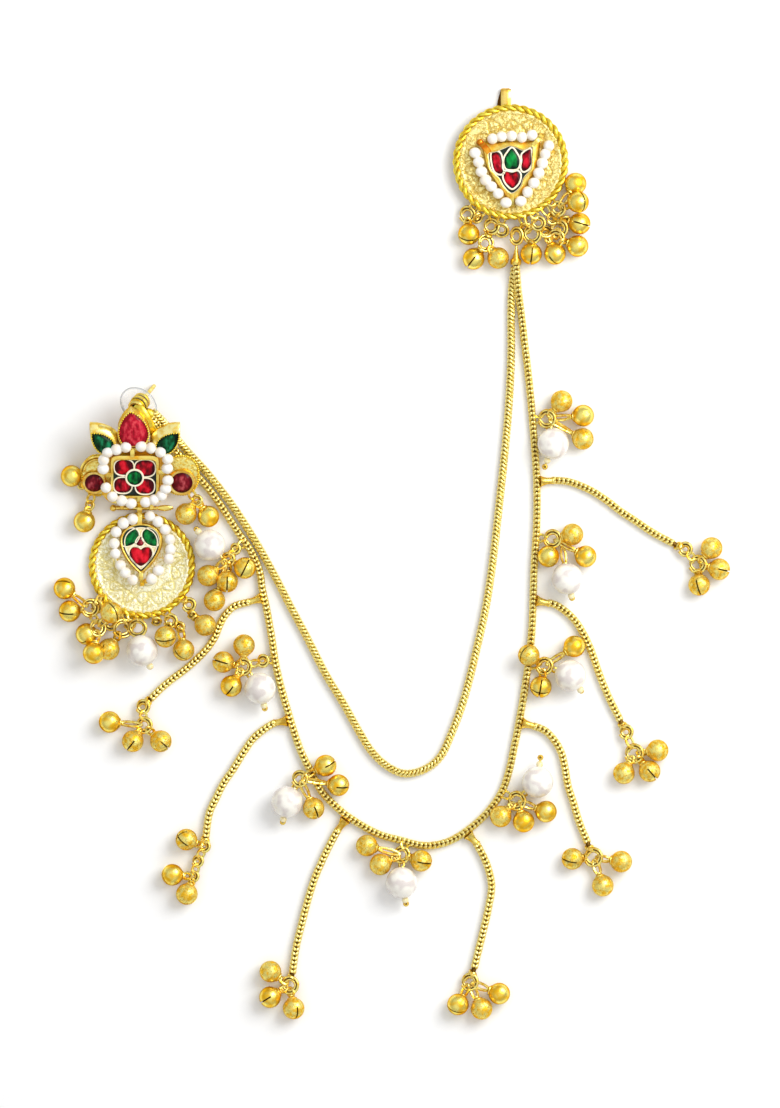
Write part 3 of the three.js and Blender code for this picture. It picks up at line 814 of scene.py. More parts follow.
@dataclass(frozen=True)
class FoiledStone(Finish):
    """Glass over crumpled foil: painted shade darkens its edge, and it is bright where the foil throws light
    back.
    """

    dark: Colour = (0.06, 0.0, 0.003)
    body: Colour = (0.48, 0.001, 0.009)
    flash: Colour = (0.74, 0.012, 0.03)
    crumple: float = 1.5

    def build(self, bench: Bench) -> bpy.types.Material:
        """Streaks of noise pick the colour from dark to flash under a clear, glossy top."""
        streaks = bench.noise(self.crumple, 2.0, bench.stretched((1.0, 0.55, 1.0))).between(0.26, 0.74)
        creases = bench.noise(self.crumple / 4, 2.0)
        # painted shade darkens the stone near its outline
        light = streaks + 0.3 * creases - 0.6 * bench.shade() - 0.1
        colour = bench.ramp(light, [(0.08, self.dark), (0.52, self.body), (0.95, self.flash)])
        return bench.surface({
            "Base Color": colour,
            "Roughness": 0.1 + 0.15 * creases,
            "Specular IOR Level": 0.08,
            "Coat Weight": 0.1,
            "Coat Roughness": 0.03,
            "Normal": bench.bumped(creases, 0.02),
        })


@dataclass(frozen=True)
class Enamel(Finish):
    """Fired enamel, glossy, with faint clouds and pits."""

    colour: Colour = (0.95, 0.89, 0.70)
    cloudy: Colour = (0.90, 0.78, 0.50)
    coat: float = 0.3

    def build(self, bench: Bench) -> bpy.types.Material:
        """Clouds mix two near colours; small pits bump it."""
        cloud = bench.noise(1.1).between(0.4, 0.7)
        pits = bench.noise(0.18, 2.0)
        return bench.surface({
            "Base Color": bench.mix(cloud, self.colour, self.cloudy),
            "Roughness": 0.25 + 0.2 * pits,
            "Specular IOR Level": 0.3,
            "Coat Weight": self.coat,
            "Normal": bench.bumped(pits, 0.012),
        })


@dataclass(frozen=True)
class ClearPlastic(Finish):
    """Clear soft plastic: almost nothing on its faces, and a grey line at its edge, painted for the dark edge
    that refraction gives.
    """

    grey: Colour = (0.32, 0.34, 0.35)
    white: Colour = (0.95, 0.96, 0.97)

    def build(self, bench: Bench) -> bpy.types.Material:
        """The edge, marked by shade, is painted grey and covers more of what is behind than the faces do."""
        edge = bench.shade()
        haze = bench.noise(2.0)
        # painted shade: the grey edge stands in for the darkening that refraction gives a clear edge
        return bench.surface({
            "Base Color": bench.mix(edge, self.white, self.grey),
            "Roughness": 0.06 + 0.08 * haze,
            "Alpha": 0.04 + 0.04 * haze + 0.75 * edge,
        })


GOLD = Gold("polished_gold")
WIRE_GOLD = Gold("wire_gold", (0.78, 0.47, 0.055), (0.98, 0.80, 0.21), roughness=0.17, grain=0.5)
RING_GOLD = Gold("ring_gold", (0.82, 0.46, 0.03), (1.0, 0.89, 0.29), roughness=0.16, cloud=0.9)
SATIN_GOLD = Gold(
    "satin_gold", (0.98, 0.56, 0.025), (1.0, 0.86, 0.22), rim=(0.48, 0.16, 0.012),
    dullness=0.12, cloud=2.0, grain=0.3, mark=0.022, stroke=(1.0, 4.0, 0.8),
)
ENGRAVED_GOLD = Gold(
    "engraved_gold", (0.98, 0.58, 0.03), (1.0, 0.87, 0.26), rim=(0.48, 0.16, 0.012),
    cloud=1.1, grain=0.35, mark=0.05, chased=0.8,
)
CHAIN_GOLD = Gold("chain_gold", (0.91, 0.69, 0.17), (1.0, 0.91, 0.37), roughness=0.22, cloud=0.9)
# a dark tube of painted shade, for the shadow inside the woven chains
CHAIN_SHADE_CORE = Gold("chain_shade_core", (0.10, 0.045, 0.006), (0.22, 0.12, 0.02), roughness=0.5)
ROPE_GOLD = Gold("rope_gold", (0.84, 0.54, 0.03), (0.99, 0.82, 0.11), cloud=1.2)
CUP_GOLD = Gold("cup_gold", (0.84, 0.56, 0.08), (0.99, 0.88, 0.36), cloud=1.4)
AMBER_GOLD = Gold("amber_gold", (0.90, 0.50, 0.04), (0.99, 0.80, 0.20), roughness=0.3, cloud=2.4)
COPPER_GOLD = Gold("copper_gold", (0.70, 0.18, 0.01), (0.92, 0.44, 0.04), roughness=0.25)
GRAIN_GOLD = Gold(
    "granulated_gold", (0.84, 0.56, 0.07), (0.99, 0.91, 0.32), roughness=0.22, cloud=0.7,
    grain=0.5, mark=0.2,
)
FACE_GOLD = CoinGold("hair_disc_gold")
PALE_FACE_GOLD = CoinGold("drop_disc_gold", pale=(1.0, 0.99, 0.78), yellow=(0.80, 0.68, 0.22))
PEARL = Pearl("round_pearl", white=(0.93, 0.90, 0.82), blush=(0.68, 0.61, 0.58), size=2.1)
SEED = Pearl("seed_pearl", white=(0.93, 0.91, 0.86), blush=(0.88, 0.78, 0.64), size=1.1)
BEAD = Pearl("cream_bead", white=(0.92, 0.84, 0.55), blush=(0.85, 0.66, 0.25), size=1.0)
RUBY = FoiledStone("ruby_glass")
DEEP_RUBY = FoiledStone("deep_ruby_glass", (0.04, 0.0, 0.002), (0.30, 0.001, 0.008), (0.66, 0.01, 0.03))
TEAR_RUBY = FoiledStone(
    "tear_ruby_glass", (0.27, 0.003, 0.012), (0.52, 0.009, 0.03), (0.68, 0.06, 0.075), crumple=0.8)
WINE = FoiledStone("wine_glass", (0.07, 0.001, 0.005), (0.19, 0.004, 0.012), (0.50, 0.08, 0.09))
EMERALD = FoiledStone("emerald_glass", (0.0, 0.012, 0.005), (0.001, 0.12, 0.022), (0.003, 0.30, 0.05))
DEEP_EMERALD = FoiledStone(
    "deep_emerald_glass", (0.0, 0.008, 0.004), (0.001, 0.06, 0.016), (0.01, 0.22, 0.09))
CREAM = Enamel("cream_enamel")
PALE_GROUND = Enamel("pale_gold_enamel", (0.88, 0.78, 0.46), (0.80, 0.66, 0.30))
DARK_GROUND = Enamel("dark_green_enamel", (0.004, 0.020, 0.011), (0.008, 0.007, 0.005), coat=0.03)
CLEAR = ClearPlastic("clear_plastic")


# ---- chains ----
LIE = 1.05  # height of the middle of a chain that lies on the surface
LONG_ROUTE = [
    [-60.3, 34.6, 9.4], [-59.1, 33, 8.4], [-57.2, 30.2, 5.2], [-54.9, 26.9, 1.9], [-52.2, 23.6, 1.1],
    [-49.3, 20.2], [-45.8, 16.2], [-43, 12.4], [-38.6, 5.6], [-35.1, 0.4], [-33.1, -4.4], [-32.4, -9],
    [-31.5, -13], [-30.1, -20.7], [-29.1, -27.4], [-27.8, -33.1], [-26.1, -39.1], [-23, -48.8], [-20.5, -54],
    [-17.7, -59.2], [-14.6, -62.6], [-10.9, -65.7], [-3.4, -70], [2.3, -71.6], [8.4, -72.9], [13.8, -72],
    [18.7, -69.2], [23.4, -65.1], [26.8, -60.6], [28.6, -56.6], [30.9, -46.6], [33.3, -33], [34.9, -20.2],
    [35.5, -4.3], [36.2, 8], [36.2, 18.2], [35.3, 31.4], [34.3, 43], [33, 54], [32.2, 61, 1.2],
    [31.5, 66.4, 2.5], [31, 72.8, 3.2],
]
SHORT_ROUTE = [
    [-59.5, 35.4, 9.6], [-58.0, 33.9, 8.6], [-55.7, 31.3, 5.6], [-52.9, 27.7, 2.2], [-49.8, 24.2, 1.2],
    [-46.4, 20.5], [-40.1, 12.4], [-34.3, 3.4], [-29.3, -5.5], [-25.3, -13.3], [-21.4, -20.6], [-16.5, -30.2],
    [-12.2, -37.3], [-8, -44.8], [-5, -49.5], [-1, -53.2], [3.2, -54.9], [8.2, -53.8], [12, -50.8],
    [14.9, -44.8], [17.9, -36.6], [21.7, -21.5], [23.8, -11.5], [25.4, -0.3], [26.4, 8.5], [28.5, 28.5],
    [29.3, 38.5], [29.8, 50], [29.8, 60], [30, 66.4], [30.8, 72.8],
]
SIDE_ROUTES = [
    [[37.6, 18.2], [41, 18.4], [44.5, 18], [49.5, 16], [53.5, 13.5], [57, 10.8], [60.8, 8.3], [64.5, 5.8],
     [68, 3.8], [71.2, 2.2]],
    [[36.6, -11.8], [40.6, -12.6], [43.2, -14.2], [45.8, -16.7], [48, -20.2], [49.9, -24.4], [51.5, -29.1],
     [53.1, -33.3], [55, -37.5], [57.5, -42.4]],
    [[33, -42.4], [35.4, -43], [38.3, -44.2], [40.6, -46.6], [42.3, -49.6], [43.2, -53.3], [44, -57.9],
     [45.3, -62], [46.8, -67], [49.3, -73.1]],
    [[19.4, -70.5], [20.7, -71.9], [22.6, -75.1], [24.1, -78.8], [24.9, -83], [24.2, -88.1], [23, -93.5],
     [21.5, -99.6], [20.3, -104.6]],
    [[-12, -66.9], [-13.5, -69], [-15.6, -72.8], [-17.5, -76.8], [-19.1, -80.5], [-21, -86.4], [-22.9, -93.8],
     [-24, -98.4], [-25, -105.6]],
    [[-26.8, -41.8], [-29.2, -42.2], [-31.8, -43.7], [-34.8, -46.3], [-37.3, -49.9], [-39.8, -54],
     [-42.1, -57.3], [-43.9, -60.9], [-45.6, -64.6], [-46.6, -71.1]],
    [[-33.2, -11.2], [-36.2, -12.1], [-39.3, -13], [-41.5, -15], [-43, -17.6], [-44.2, -20.6], [-46.2, -23.6],
     [-48.9, -26.4], [-51.9, -29], [-54.6, -31], [-57.3, -33.2], [-60.7, -36.6]],
]


def lying(route: Rows) -> Array:
    """A route's points with the lying height where none is given."""
    return np.array([[*point, LIE] if len(point) == 2 else point for point in route], float)


@dataclass(frozen=True)
class FoxtailChain:
    """A woven chain: four columns of slanted loops round a dark core of painted shade, for the shadow inside
    the weave.

    Each loop is a long ball that leans across the chain. Neighbour columns lean in mirrored ways, so that
    their loops meet in Vs with a small dark gap between one V and the next, darkened by painted shade.

    Attributes:
        pitch: Step along the chain.
        out: Distance of the loops' middles from the chain's middle.
        loop: Half measures of a loop along itself, across and outwards.
        lean: Degrees that a loop leans from the chain's direction.
        roll: Degrees that the columns are turned about the chain.
        core: Radius of the dark core.
        stagger: Share of a step by which the two lower columns are ahead.
    """

    pitch: float = 1.12
    out: float = 0.56
    loop: Spot = (0.84, 0.44, 0.46)
    lean: float = 44.0
    # core: Radius of the dark core, a tube of painted shade.
    roll: float = 45.0
    core: float = 0.55
    stagger: float = 0.5

    def loops(self, route: Array, seed: int) -> Shape:
        """The loops along a route.

        Args:
            route: Dense points of the chain's middle.
            seed: Seed of the small unevenness.

        Returns:
            All loops as one shape.
        """
        rng = np.random.default_rng(seed)
        steps = int(length_of(route) / self.pitch)
        column = np.tile(np.arange(4), steps)
        number = np.repeat(np.arange(steps), 4)
        along = (number + self.stagger * (column // 2) + 0.25) * self.pitch
        middle = by_length(route, along)
        way = unit(by_length(route, along + 0.2) - by_length(route, along - 0.2))
        side = unit(np.cross(way, UP))
        over = np.cross(side, way)
        angle = np.radians(self.roll + 90 * column + rng.normal(0, 3, len(column)))[:, None]
        outward = np.cos(angle) * side + np.sin(angle) * over
        round_it = np.cross(way, outward)
        lean = np.radians(self.lean * np.where(column % 2, 1, -1) + rng.normal(0, 2, len(column)))[:, None]
        long_way = np.cos(lean) * way + np.sin(lean) * round_it
        across = np.cross(outward, long_way)
        a, b, c = self.loop
        turns = np.stack([long_way * a, across * b, outward * c], -1)
        return self.link().copies(turns, middle + outward * self.out, seed)

    @staticmethod
    def link() -> Shape:
        """One loop at unit size: a ball of few faces, with painted shade towards its foot and its inner end.
        """
        bead = ball(1.0, 8, 5)
        # painted shade: darker towards the loop's foot and at its inner end, where the Vs meet
        depth = -0.6 * bead.points[:, 2] + 0.85 * eased(bead.points[:, 0], 0.55, 1.0)
        return replace(bead, shade=depth.clip(0, 1))

    def middle(self, route: Array) -> Shape:
        """The dark core, a plain tube of painted shade for the shadow inside the weave."""
        steps = max(int(length_of(route) / 1.5), 8)
        path = by_length(route, np.linspace(0, length_of(route), steps))
        return swept(path, circle(8, self.core))


@dataclass(frozen=True)
class SideStart:
    """The plain cone and the collar that join a side chain to the long chain."""

    foot: float = 1.5
    mouth: float = 0.78
    long: float = 2.7

    def shapes(self, route: Array) -> list[Shape]:
        """A bell-mouthed cone from the long chain to the start of the side chain, and its collar.

        Args:
            route: Points of the side chain, from the long chain on.

        Returns:
            Both shapes.
        """
        towards = unit(route[1] - route[0])
        start = route[0] + [0, 0, 0.5]
        end = start + towards * self.long
        end[2] = LIE
        radii = self.mouth + (self.foot - self.mouth) * np.linspace(1, 0, 12) ** 3
        cone = rod(start - towards * 0.5, end, radii, 18)
        collar = rod(end - towards * 0.3, end + towards * 0.25, [0.8, 0.95, 0.95, 0.8], 18)
        return [cone, collar]


@dataclass(frozen=True)
class ChainWork:
    """The two long chains, the seven side chains and the cone that takes both ends."""

    plait: FoxtailChain = FoxtailChain()
    rope: FoxtailChain = FoxtailChain(1.0, 0.5, (1.05, 0.4, 0.5), lean=48.0, roll=90.0, stagger=0.0)
    start: SideStart = SideStart()
    cap_mouth: Spot = (30.95, 72.6, 2.3)
    cap_tip: Spot = (31.1, 77.0, 2.6)

    def build(self) -> None:
        """Makes every chain as a piece of its own."""
        self.chain("long_chain", LONG_ROUTE, self.plait, 1)
        self.chain("short_chain", SHORT_ROUTE, self.rope, 2)
        for number, route in enumerate(SIDE_ROUTES, 1):
            self.side_chain(number, route)
        self.cap()

    def chain(self, name: str, route: Rows, weave: FoxtailChain, seed: int) -> None:
        """One long chain."""
        path = smooth(lying(route))
        piece = Piece(name).add(CHAIN_GOLD, weave.loops(path, seed)).add(CHAIN_SHADE_CORE, weave.middle(path))
        piece.make(EARRING, "gold_chain", name)

    def side_chain(self, number: int, route: Rows) -> None:
        """One side chain with its cone and a cup on its end.

        Args:
            number: Its number, from 1.
            route: Its points, from the long chain on.
        """
        points = lying(route)
        path = smooth(points)
        path = by_length(path, np.linspace(2.6, length_of(path), 12 * len(points)))
        name = f"side_chain_{number}"
        piece = Piece(name).add(CHAIN_GOLD, self.plait.loops(path, 10 + number))
        piece.add(CHAIN_SHADE_CORE, self.plait.middle(path)).add(WIRE_GOLD, *self.start.shapes(points))
        cup = rod(path[-1], path[-1] + unit(path[-1] - path[-4]) * 0.9, [0.9, 1.0, 0.75, 0.4], 14)
        piece.add(WIRE_GOLD, cup).make(EARRING, "gold_chain", name)

    def cap(self) -> None:
        """The cone over both chain ends, with the ring that it hangs from."""
        oval = circle(22) * (0.66, 1.0)
        route = np.linspace(self.cap_mouth, self.cap_tip, 10)
        cone = swept(route, oval, scale=0.5 + 1.5 * np.linspace(1, 0, 10) ** 1.4)
        lip = swept(route[:4] - (0, 0.25, 0), oval, scale=np.array([1.9, 2.12, 2.12, 1.9]))
        ring = JumpRing(31.1, 79.5, 2.1, 2.6, squeeze=0.75).shape()
        Piece("chain_cone").add(WIRE_GOLD, cone, lip, ring).make(EARRING, "gold_polished", "chain_cone")


# ---- rings, bells and pearls ----
@dataclass(frozen=True)
class JumpRing:
    """A wire wound twice round.

    Attributes:
        x: Middle.
        y: Middle.
        radius: Middle of the wire.
        z: Height of the middle.
        tilt: Degrees that the ring leans from lying flat.
        rises: Direction in degrees in which it rises.
        squeeze: Width as a share of length, for an oval ring.
        seam: Where the wire starts, in degrees.
        wire: Radius of the wire.
        winding: How much smaller the second turn is.
    """

    x: float
    y: float
    radius: float
    z: float = 2.0
    tilt: float = 12.0
    rises: float = 0.0
    squeeze: float = 1.0
    seam: float = 200.0
    wire: float = 0.37
    winding: float = 0.7

    def shape(self) -> Shape:
        """The wire at its tilt, its second turn inside the first, with a line of painted shade between them.
        """
        share = np.linspace(0, 1, 72)
        turn = np.radians(self.seam + 690 * share)
        inward = eased(share, 0.35, 0.65)
        reach = self.radius - self.winding * inward
        path = np.stack([self.squeeze * reach * np.cos(turn), reach * np.sin(turn), -0.3 * inward], -1)
        arc = swept(path, circle(8, self.wire))
        # painted shade along the gap between the two turns
        out = np.hypot(arc.points[:, 0] / self.squeeze, arc.points[:, 1]) - self.radius + self.winding / 2
        arc = replace(arc, shade=0.75 * np.exp(-(out / 0.17) ** 2))
        rise = math.radians(self.rises)
        axis = np.array([math.sin(rise), -math.cos(rise), 0.0])
        return arc.moved(about(axis, math.radians(self.tilt)), self.middle)

    @property
    def middle(self) -> Array:
        """Its middle."""
        return np.array([self.x, self.y, self.z])

    def nearest(self, place: Array) -> Array:
        """The point of the outer turn, taken as lying flat, that is nearest to a place."""
        return self.middle + unit((place - self.middle) * [1, 1, 0]) * self.radius

    def gaps(self, route: Array) -> Array:
        """The gap, seen from above, between its outer turn and each point of a route."""
        return np.linalg.norm(route[:, :2] - (self.x, self.y), axis=1) - self.radius


class Cut(Enum):
    """How a bell is slit."""

    SINGLE = "single"
    CROSS = "cross"


@dataclass(frozen=True)
class Bell:
    """A round sheet bell.

    Attributes:
        x: Middle.
        y: Middle.
        z: Height of the middle.
        roll: Turn of the slit about the bell's axis, in degrees.
        cut: How it is slit.
        pitch: Degrees that the mouth is turned up towards the viewer.
        engraved: Whether its sheet is chased with fine lines.
        ring: Which ring it hangs on, if not the nearest.
    """

    x: float
    y: float
    z: float = 2.77
    roll: float | None = 90.0
    cut: Cut = Cut.SINGLE
    pitch: float = 0.0
    engraved: bool = False
    ring: int | None = None


@dataclass(frozen=True)
class Chased(Bell):
    """A bell whose sheet is chased with fine lines."""

    engraved: bool = True


@dataclass(frozen=True)
class Loose(Bell):
    """A bell whose roll, pitch, slit and chasing are drawn at random."""

    roll: float | None = None


@dataclass(frozen=True)
class BellMaker:
    """Shapes of a bell whose neck is on +Z: its radius, its slit's depth and its stem's height."""

    radius: float = 2.72
    slit: float = 0.6
    stem: float = 0.6

    def shell(self, cut: Cut) -> Shape:
        """A ball whose rings run about Y, sunk along the slit.

        The slit lies in the XZ plane round the bottom: the radius drops by the slit's depth where the
        latitude is within a few degrees and the longitude is near the bottom. A crossed bell drops
        along the bottom meridian too.

        Args:
            cut: How it is slit.

        Returns:
            The shell, with painted shade in its slits.
        """
        half = np.array([1.0, 3.2, 4.0, 6, 10, 16, 25, 36, 48, 61, 75])
        latitude = np.radians(np.concatenate([-half[::-1], half]))[:, None]
        turn = np.array([3.2, 4.0, 9, 17, 27, 38, 49, 60, 70, 77, 84, 94, 108, 124, 140, 156, 171])
        longitude = np.radians(180 + np.concatenate([-turn[::-1], [0], turn]))[None]
        off_bottom = np.abs(longitude - math.pi)
        # the slit mask sinks the shell and paints shade in the slit
        groove = self.step(np.abs(latitude), 3.2, 4.0) * self.step(off_bottom, 77, 84)
        if cut is Cut.CROSS:
            groove = np.maximum(groove, self.step(off_bottom, 3.2, 4.0) * self.step(np.abs(latitude), 48, 61))
        reach = self.radius - self.slit * groove
        grid = np.stack(np.broadcast_arrays(
            reach * np.cos(latitude) * np.sin(longitude),
            reach * np.sin(latitude),
            reach * np.cos(latitude) * np.cos(longitude),
        ), -1)
        ends = np.array([[0, -self.radius, 0], [0, self.radius, 0]])
        return skin_of(grid, ends, groove)

    @staticmethod
    def step(value: Array, low: float, high: float) -> Array:
        """1 up to low degrees and 0 from high degrees on."""
        return 1 - ((np.degrees(value) - low) / (high - low)).clip(0, 1)

    def neck(self) -> Shape:
        """A small cap and a stem on the ball's top."""
        top = self.radius
        return turned([
            [0, top - 0.3], [1.25, top - 0.35], [1.3, top - 0.12], [0.85, top + 0.15], [0.6, top + 0.35],
            [0.6, top + self.stem], [0, top + 0.7],
        ], 14)


GRIP = 0.45  # how far a link reaches past the wire that it is round


def wire_link(start: Array, end: Array, wide: float, wire: float, turn: float, over: float = GRIP) -> Shape:
    """An oval wire link round two wires.

    Args:
        start: Middle of the first wire.
        end: Middle of the second.
        wide: Half of the link's width.
        wire: The link's own wire radius.
        turn: Radians that the link is turned about its length, 0 for standing upright.
        over: How far the link reaches past the second wire.

    Returns:
        The shape.
    """
    along = end - start
    reach = (float(np.linalg.norm(along)) + GRIP + over) / 2
    angle = np.linspace(0, 2 * math.pi, 28, endpoint=False)
    loop = np.stack([wide * np.sin(angle), np.zeros(28), reach * np.cos(angle)], -1)
    link = swept(loop, circle(7, wire), np.array([0, 1.0, 0]), closed=True)
    middle = (start + end + unit(along) * (over - GRIP)) / 2
    return link.moved(facing(along, UP) @ about(UP, turn), middle).lifted()


@dataclass
class BellWork:
    """Bunches of bells on jump rings.

    Attributes:
        maker: Shapes of one bell.
        near: A ring that is nearer to the route than this is linked to it.
        wire: Wire radius of the hangers.
        least: Least height of a hanger's end at the bell.
    """

    maker: BellMaker = field(default_factory=BellMaker)
    near: float = 3.2
    wire: float = 0.38
    least: float = 1.0

    def __post_init__(self) -> None:
        """Works out each kind of shell once."""
        self.shells = {cut: self.maker.shell(cut) for cut in Cut}
        self.neck = self.maker.neck()

    @staticmethod
    def tie(ring: JumpRing, route: Array) -> Shape:
        """A link from the nearest point of a route to a ring's wire."""
        start = route[ring.gaps(route).argmin()]
        return wire_link(start, ring.nearest(start), wide=0.95, wire=0.34, turn=1.15)

    @staticmethod
    def between(others: Sequence[JumpRing], ring: JumpRing) -> Shape:
        """A link from a ring to the nearest of the rings before it."""
        other = min(others, key=lambda near: math.hypot(near.x - ring.x, near.y - ring.y) - near.radius)
        start = other.nearest(ring.middle)
        return wire_link(start, ring.nearest(start), wide=0.85, wire=0.36, turn=1.2)

    def hanger(self, stem: Array, spot: Array, ring: JumpRing, turn: float) -> Shape:
        """A link from a bell's stem to a spot on its ring, narrower the longer it is."""
        wide = min(0.8, 2.2 / float(np.linalg.norm(spot - stem)))
        return wire_link(stem, spot, wide, self.wire, turn, 0.3 + 0.55 * ring.radius)

    def bunch(
        self, name: str, rings: Sequence[JumpRing], bells: Sequence[Bell], seed: int, route: Array
    ) -> Piece:
        """Rings and bells, each bell turned with its neck to the nearest wire.

        Args:
            name: The node that the bunch stands for.
            rings: The rings, the first of them linked to the route.
            bells: The bells.
            seed: Seed of what is drawn at random.
            route: What the first ring hangs from: a chain's middle or a rope rim's.

        Returns:
            The piece, not yet made.
        """
        rng = np.random.default_rng(seed)
        linked = [i == 0 or ring.gaps(route).min() < self.near for i, ring in enumerate(rings)]
        ties = [self.tie(ring, route) for ring, by_route in zip(rings, linked) if by_route]
        ties += [self.between(rings[:i], ring) for i, ring in enumerate(rings) if not linked[i]]
        piece = Piece(name).add(RING_GOLD, *ties, *(ring.shape() for ring in rings))
        for bell in bells:
            middle = np.array([bell.x, bell.y, bell.z])
            drawn = rng.uniform(0, 180)
            if bell.roll is None:
                cut = Cut.CROSS if drawn > 150 else Cut.SINGLE  # one in six
                engraved = drawn % 20 < 12  # three in five
                bell = replace(bell, roll=drawn, cut=cut, pitch=rng.uniform(5, 36), engraved=engraved)
            spots = np.array([ring.nearest(middle) for ring in rings])
            number = np.linalg.norm(spots - middle, axis=1).argmin() if bell.ring is None else bell.ring
            spot = spots[number]
            axis = unit(spot - middle)
            tipped = about(np.cross(UP, axis), math.radians(bell.pitch)) @ axis
            turn = facing(tipped, UP) @ about(UP, math.radians(bell.roll))
            finish = ENGRAVED_GOLD if bell.engraved else SATIN_GOLD
            piece.add(finish, self.shells[bell.cut].moved(turn, middle, int(1000 * drawn)))
            if np.linalg.norm(spot - middle) > self.maker.radius * 0.95:
                stem = middle + tipped * (self.maker.radius + self.maker.stem)
                stem[2] = max(stem[2], self.least)
                hanger = self.hanger(stem, spot, rings[number], rng.uniform(0.9, 1.4))
                piece.add(SATIN_GOLD, self.neck.moved(turn, middle).lifted()).add(RING_GOLD, hanger)
        return piece


@dataclass(frozen=True)
class PearlWork:
    """Round pearls on head pins, with the radii of the pearl, the pin, its rolled end and the bead."""

    radius: float = 3.95
    pin: float = 0.27
    knob: float = 0.76
    bead: float = 0.9

    def build(self, name: str, body: str, place: Row, tip: Row, hook: Row) -> None:
        """One pearl, its cream bead, its pin with a rolled end, and its cap and link to a ring.

        Args:
            name: The node that it stands for.
            body: Its body.
            place: x and y of the pearl.
            tip: x and y of the pin's rolled end.
            hook: x and y of the wire that it hangs on.
        """
        middle = np.array([*place, self.radius])
        end = np.array([*tip, self.radius - 0.6])
        out = unit(end - middle)
        start = np.array([*hook, JumpRing.z])
        back = unit(start - middle)
        pearl = ball(self.radius, 40, 26).moved(np.eye(3), middle, int(abs(20 * place[0])))
        bead = ball(self.bead, 16, 10).at(*(middle + out * (self.radius + 0.5)))
        pin = rod(middle + out * (self.radius - 0.3), end, [self.pin] * 2, 8)
        piece = Piece(name).add(PEARL, pearl).add(BEAD, bead).add(WIRE_GOLD, pin, self.end().at(*end))
        if np.linalg.norm(start - middle) > self.radius * 0.9:
            loop = wire_link(middle + back * (self.radius + 0.3), start, wide=0.7, wire=0.32, turn=0.9)
            cap = turned([[0, 0.9], [1.0, 0.86], [1.0, 1.0], [0, 1.03]], 14)
            cap = cap.moved(facing(back, UP) @ (np.eye(3) * [1, 1, self.radius]), middle)
            piece.add(WIRE_GOLD, loop, cap)
        piece.make(body, "pearl", name)

    def end(self) -> Shape:
        """The pin's rolled end: a round knob with painted shade in the hollow on its top."""
        profile = [
            (0, -0.85), (0.65, -0.65), (0.95, -0.2), (1, 0.15), (0.8, 0.6), (0.5, 0.65), (0.3, 0.4), (0, 0.3),
        ]
        knob = turned(np.array(profile) * self.knob, 14)
        # painted shade in the hollow on top of the knob
        dent_shade = 1.6 - 3.2 * np.hypot(knob.points[:, 0], knob.points[:, 1]) / self.knob
        return replace(knob, shade=dent_shade.clip(0, 0.9) * (knob.points[:, 2] > 0))


def rim(x: float, y: float, z: float, radius: float) -> Array:
    """Points round a rim that bells hang from."""
    return np.column_stack([circle(120, radius) + (x, y), np.full(120, z)])


# rings; bells; a pearl's middle and its pin's rolled end; the wire it hangs on, if not the last ring
CHAIN_BUNCHES = [
    ([JumpRing(38.7, 33.8, 2.1)], [Chased(42.4, 38.2), Bell(47.8, 34.6), Chased(47.7, 28.8, pitch=14)],
     (40.3, 27.6), (38.2, 21.8), None),
    ([JumpRing(40.1, 3.8, 2.1)], [Chased(45.1, 4.9), Bell(48.4, -0.6), Bell(39.1, -0.6, roll=75)],
     (43.8, -6.2), (45, -11), (42.6, 1.2)),
    ([JumpRing(38.1, -28, 2.0)],
     [Chased(34.2, -25.3, 5), Bell(37.2, -33.2, cut=Cut.CROSS, roll=0, pitch=40), Bell(45.6, -23.1)],
     (44.6, -30.4), (47.3, -34.2), None),
    ([JumpRing(31.1, -61.7, 2.2)],
     [Chased(27.2, -65.6), Bell(32.9, -66.9), Bell(38.5, -64.4, roll=100, pitch=12)],
     (36.4, -57), (37.1, -50.9), None),
    ([JumpRing(2.4, -75.2, 1.95)],
     [Chased(-6.3, -72.9), Chased(-2.9, -77.6), Chased(7.3, -76.7, roll=-12, pitch=12)],
     (2.4, -82.2), (3.5, -87.4), None),
    ([JumpRing(-23.1, -56.2, 1.9, 3.3)],
     [Bell(-16.6, -52.9, cut=Cut.CROSS, roll=-8, pitch=18),
      Bell(-13.4, -57.8, cut=Cut.CROSS, roll=-14, pitch=20),
      Chased(-19.6, -63.6, cut=Cut.CROSS, roll=8, pitch=18)],
     (-26.3, -62), (-27.3, -67), None),
    ([JumpRing(-32.3, -26.7, 1.4), JumpRing(-37.2, -28.2, 2.0)],
     [Chased(-37, -22.8), Chased(-42.2, -27, roll=4, pitch=20), Bell(-40.2, -33, cut=Cut.CROSS, roll=10)],
     (-33, -33.6), (-31.8, -38.6), None),
    ([JumpRing(-39.2, 1.3, 1.2), JumpRing(-41, -1.4, 1.6)],
     [Chased(-46, -5.4), Chased(-41.2, -6.9, cut=Cut.CROSS, roll=0, pitch=25),
      Bell(-36.8, -3.5, 3.7, pitch=60), Chased(-44.4, -11.6)],
     (-45.6, 2.2), (-48.9, 6.2), None),
]
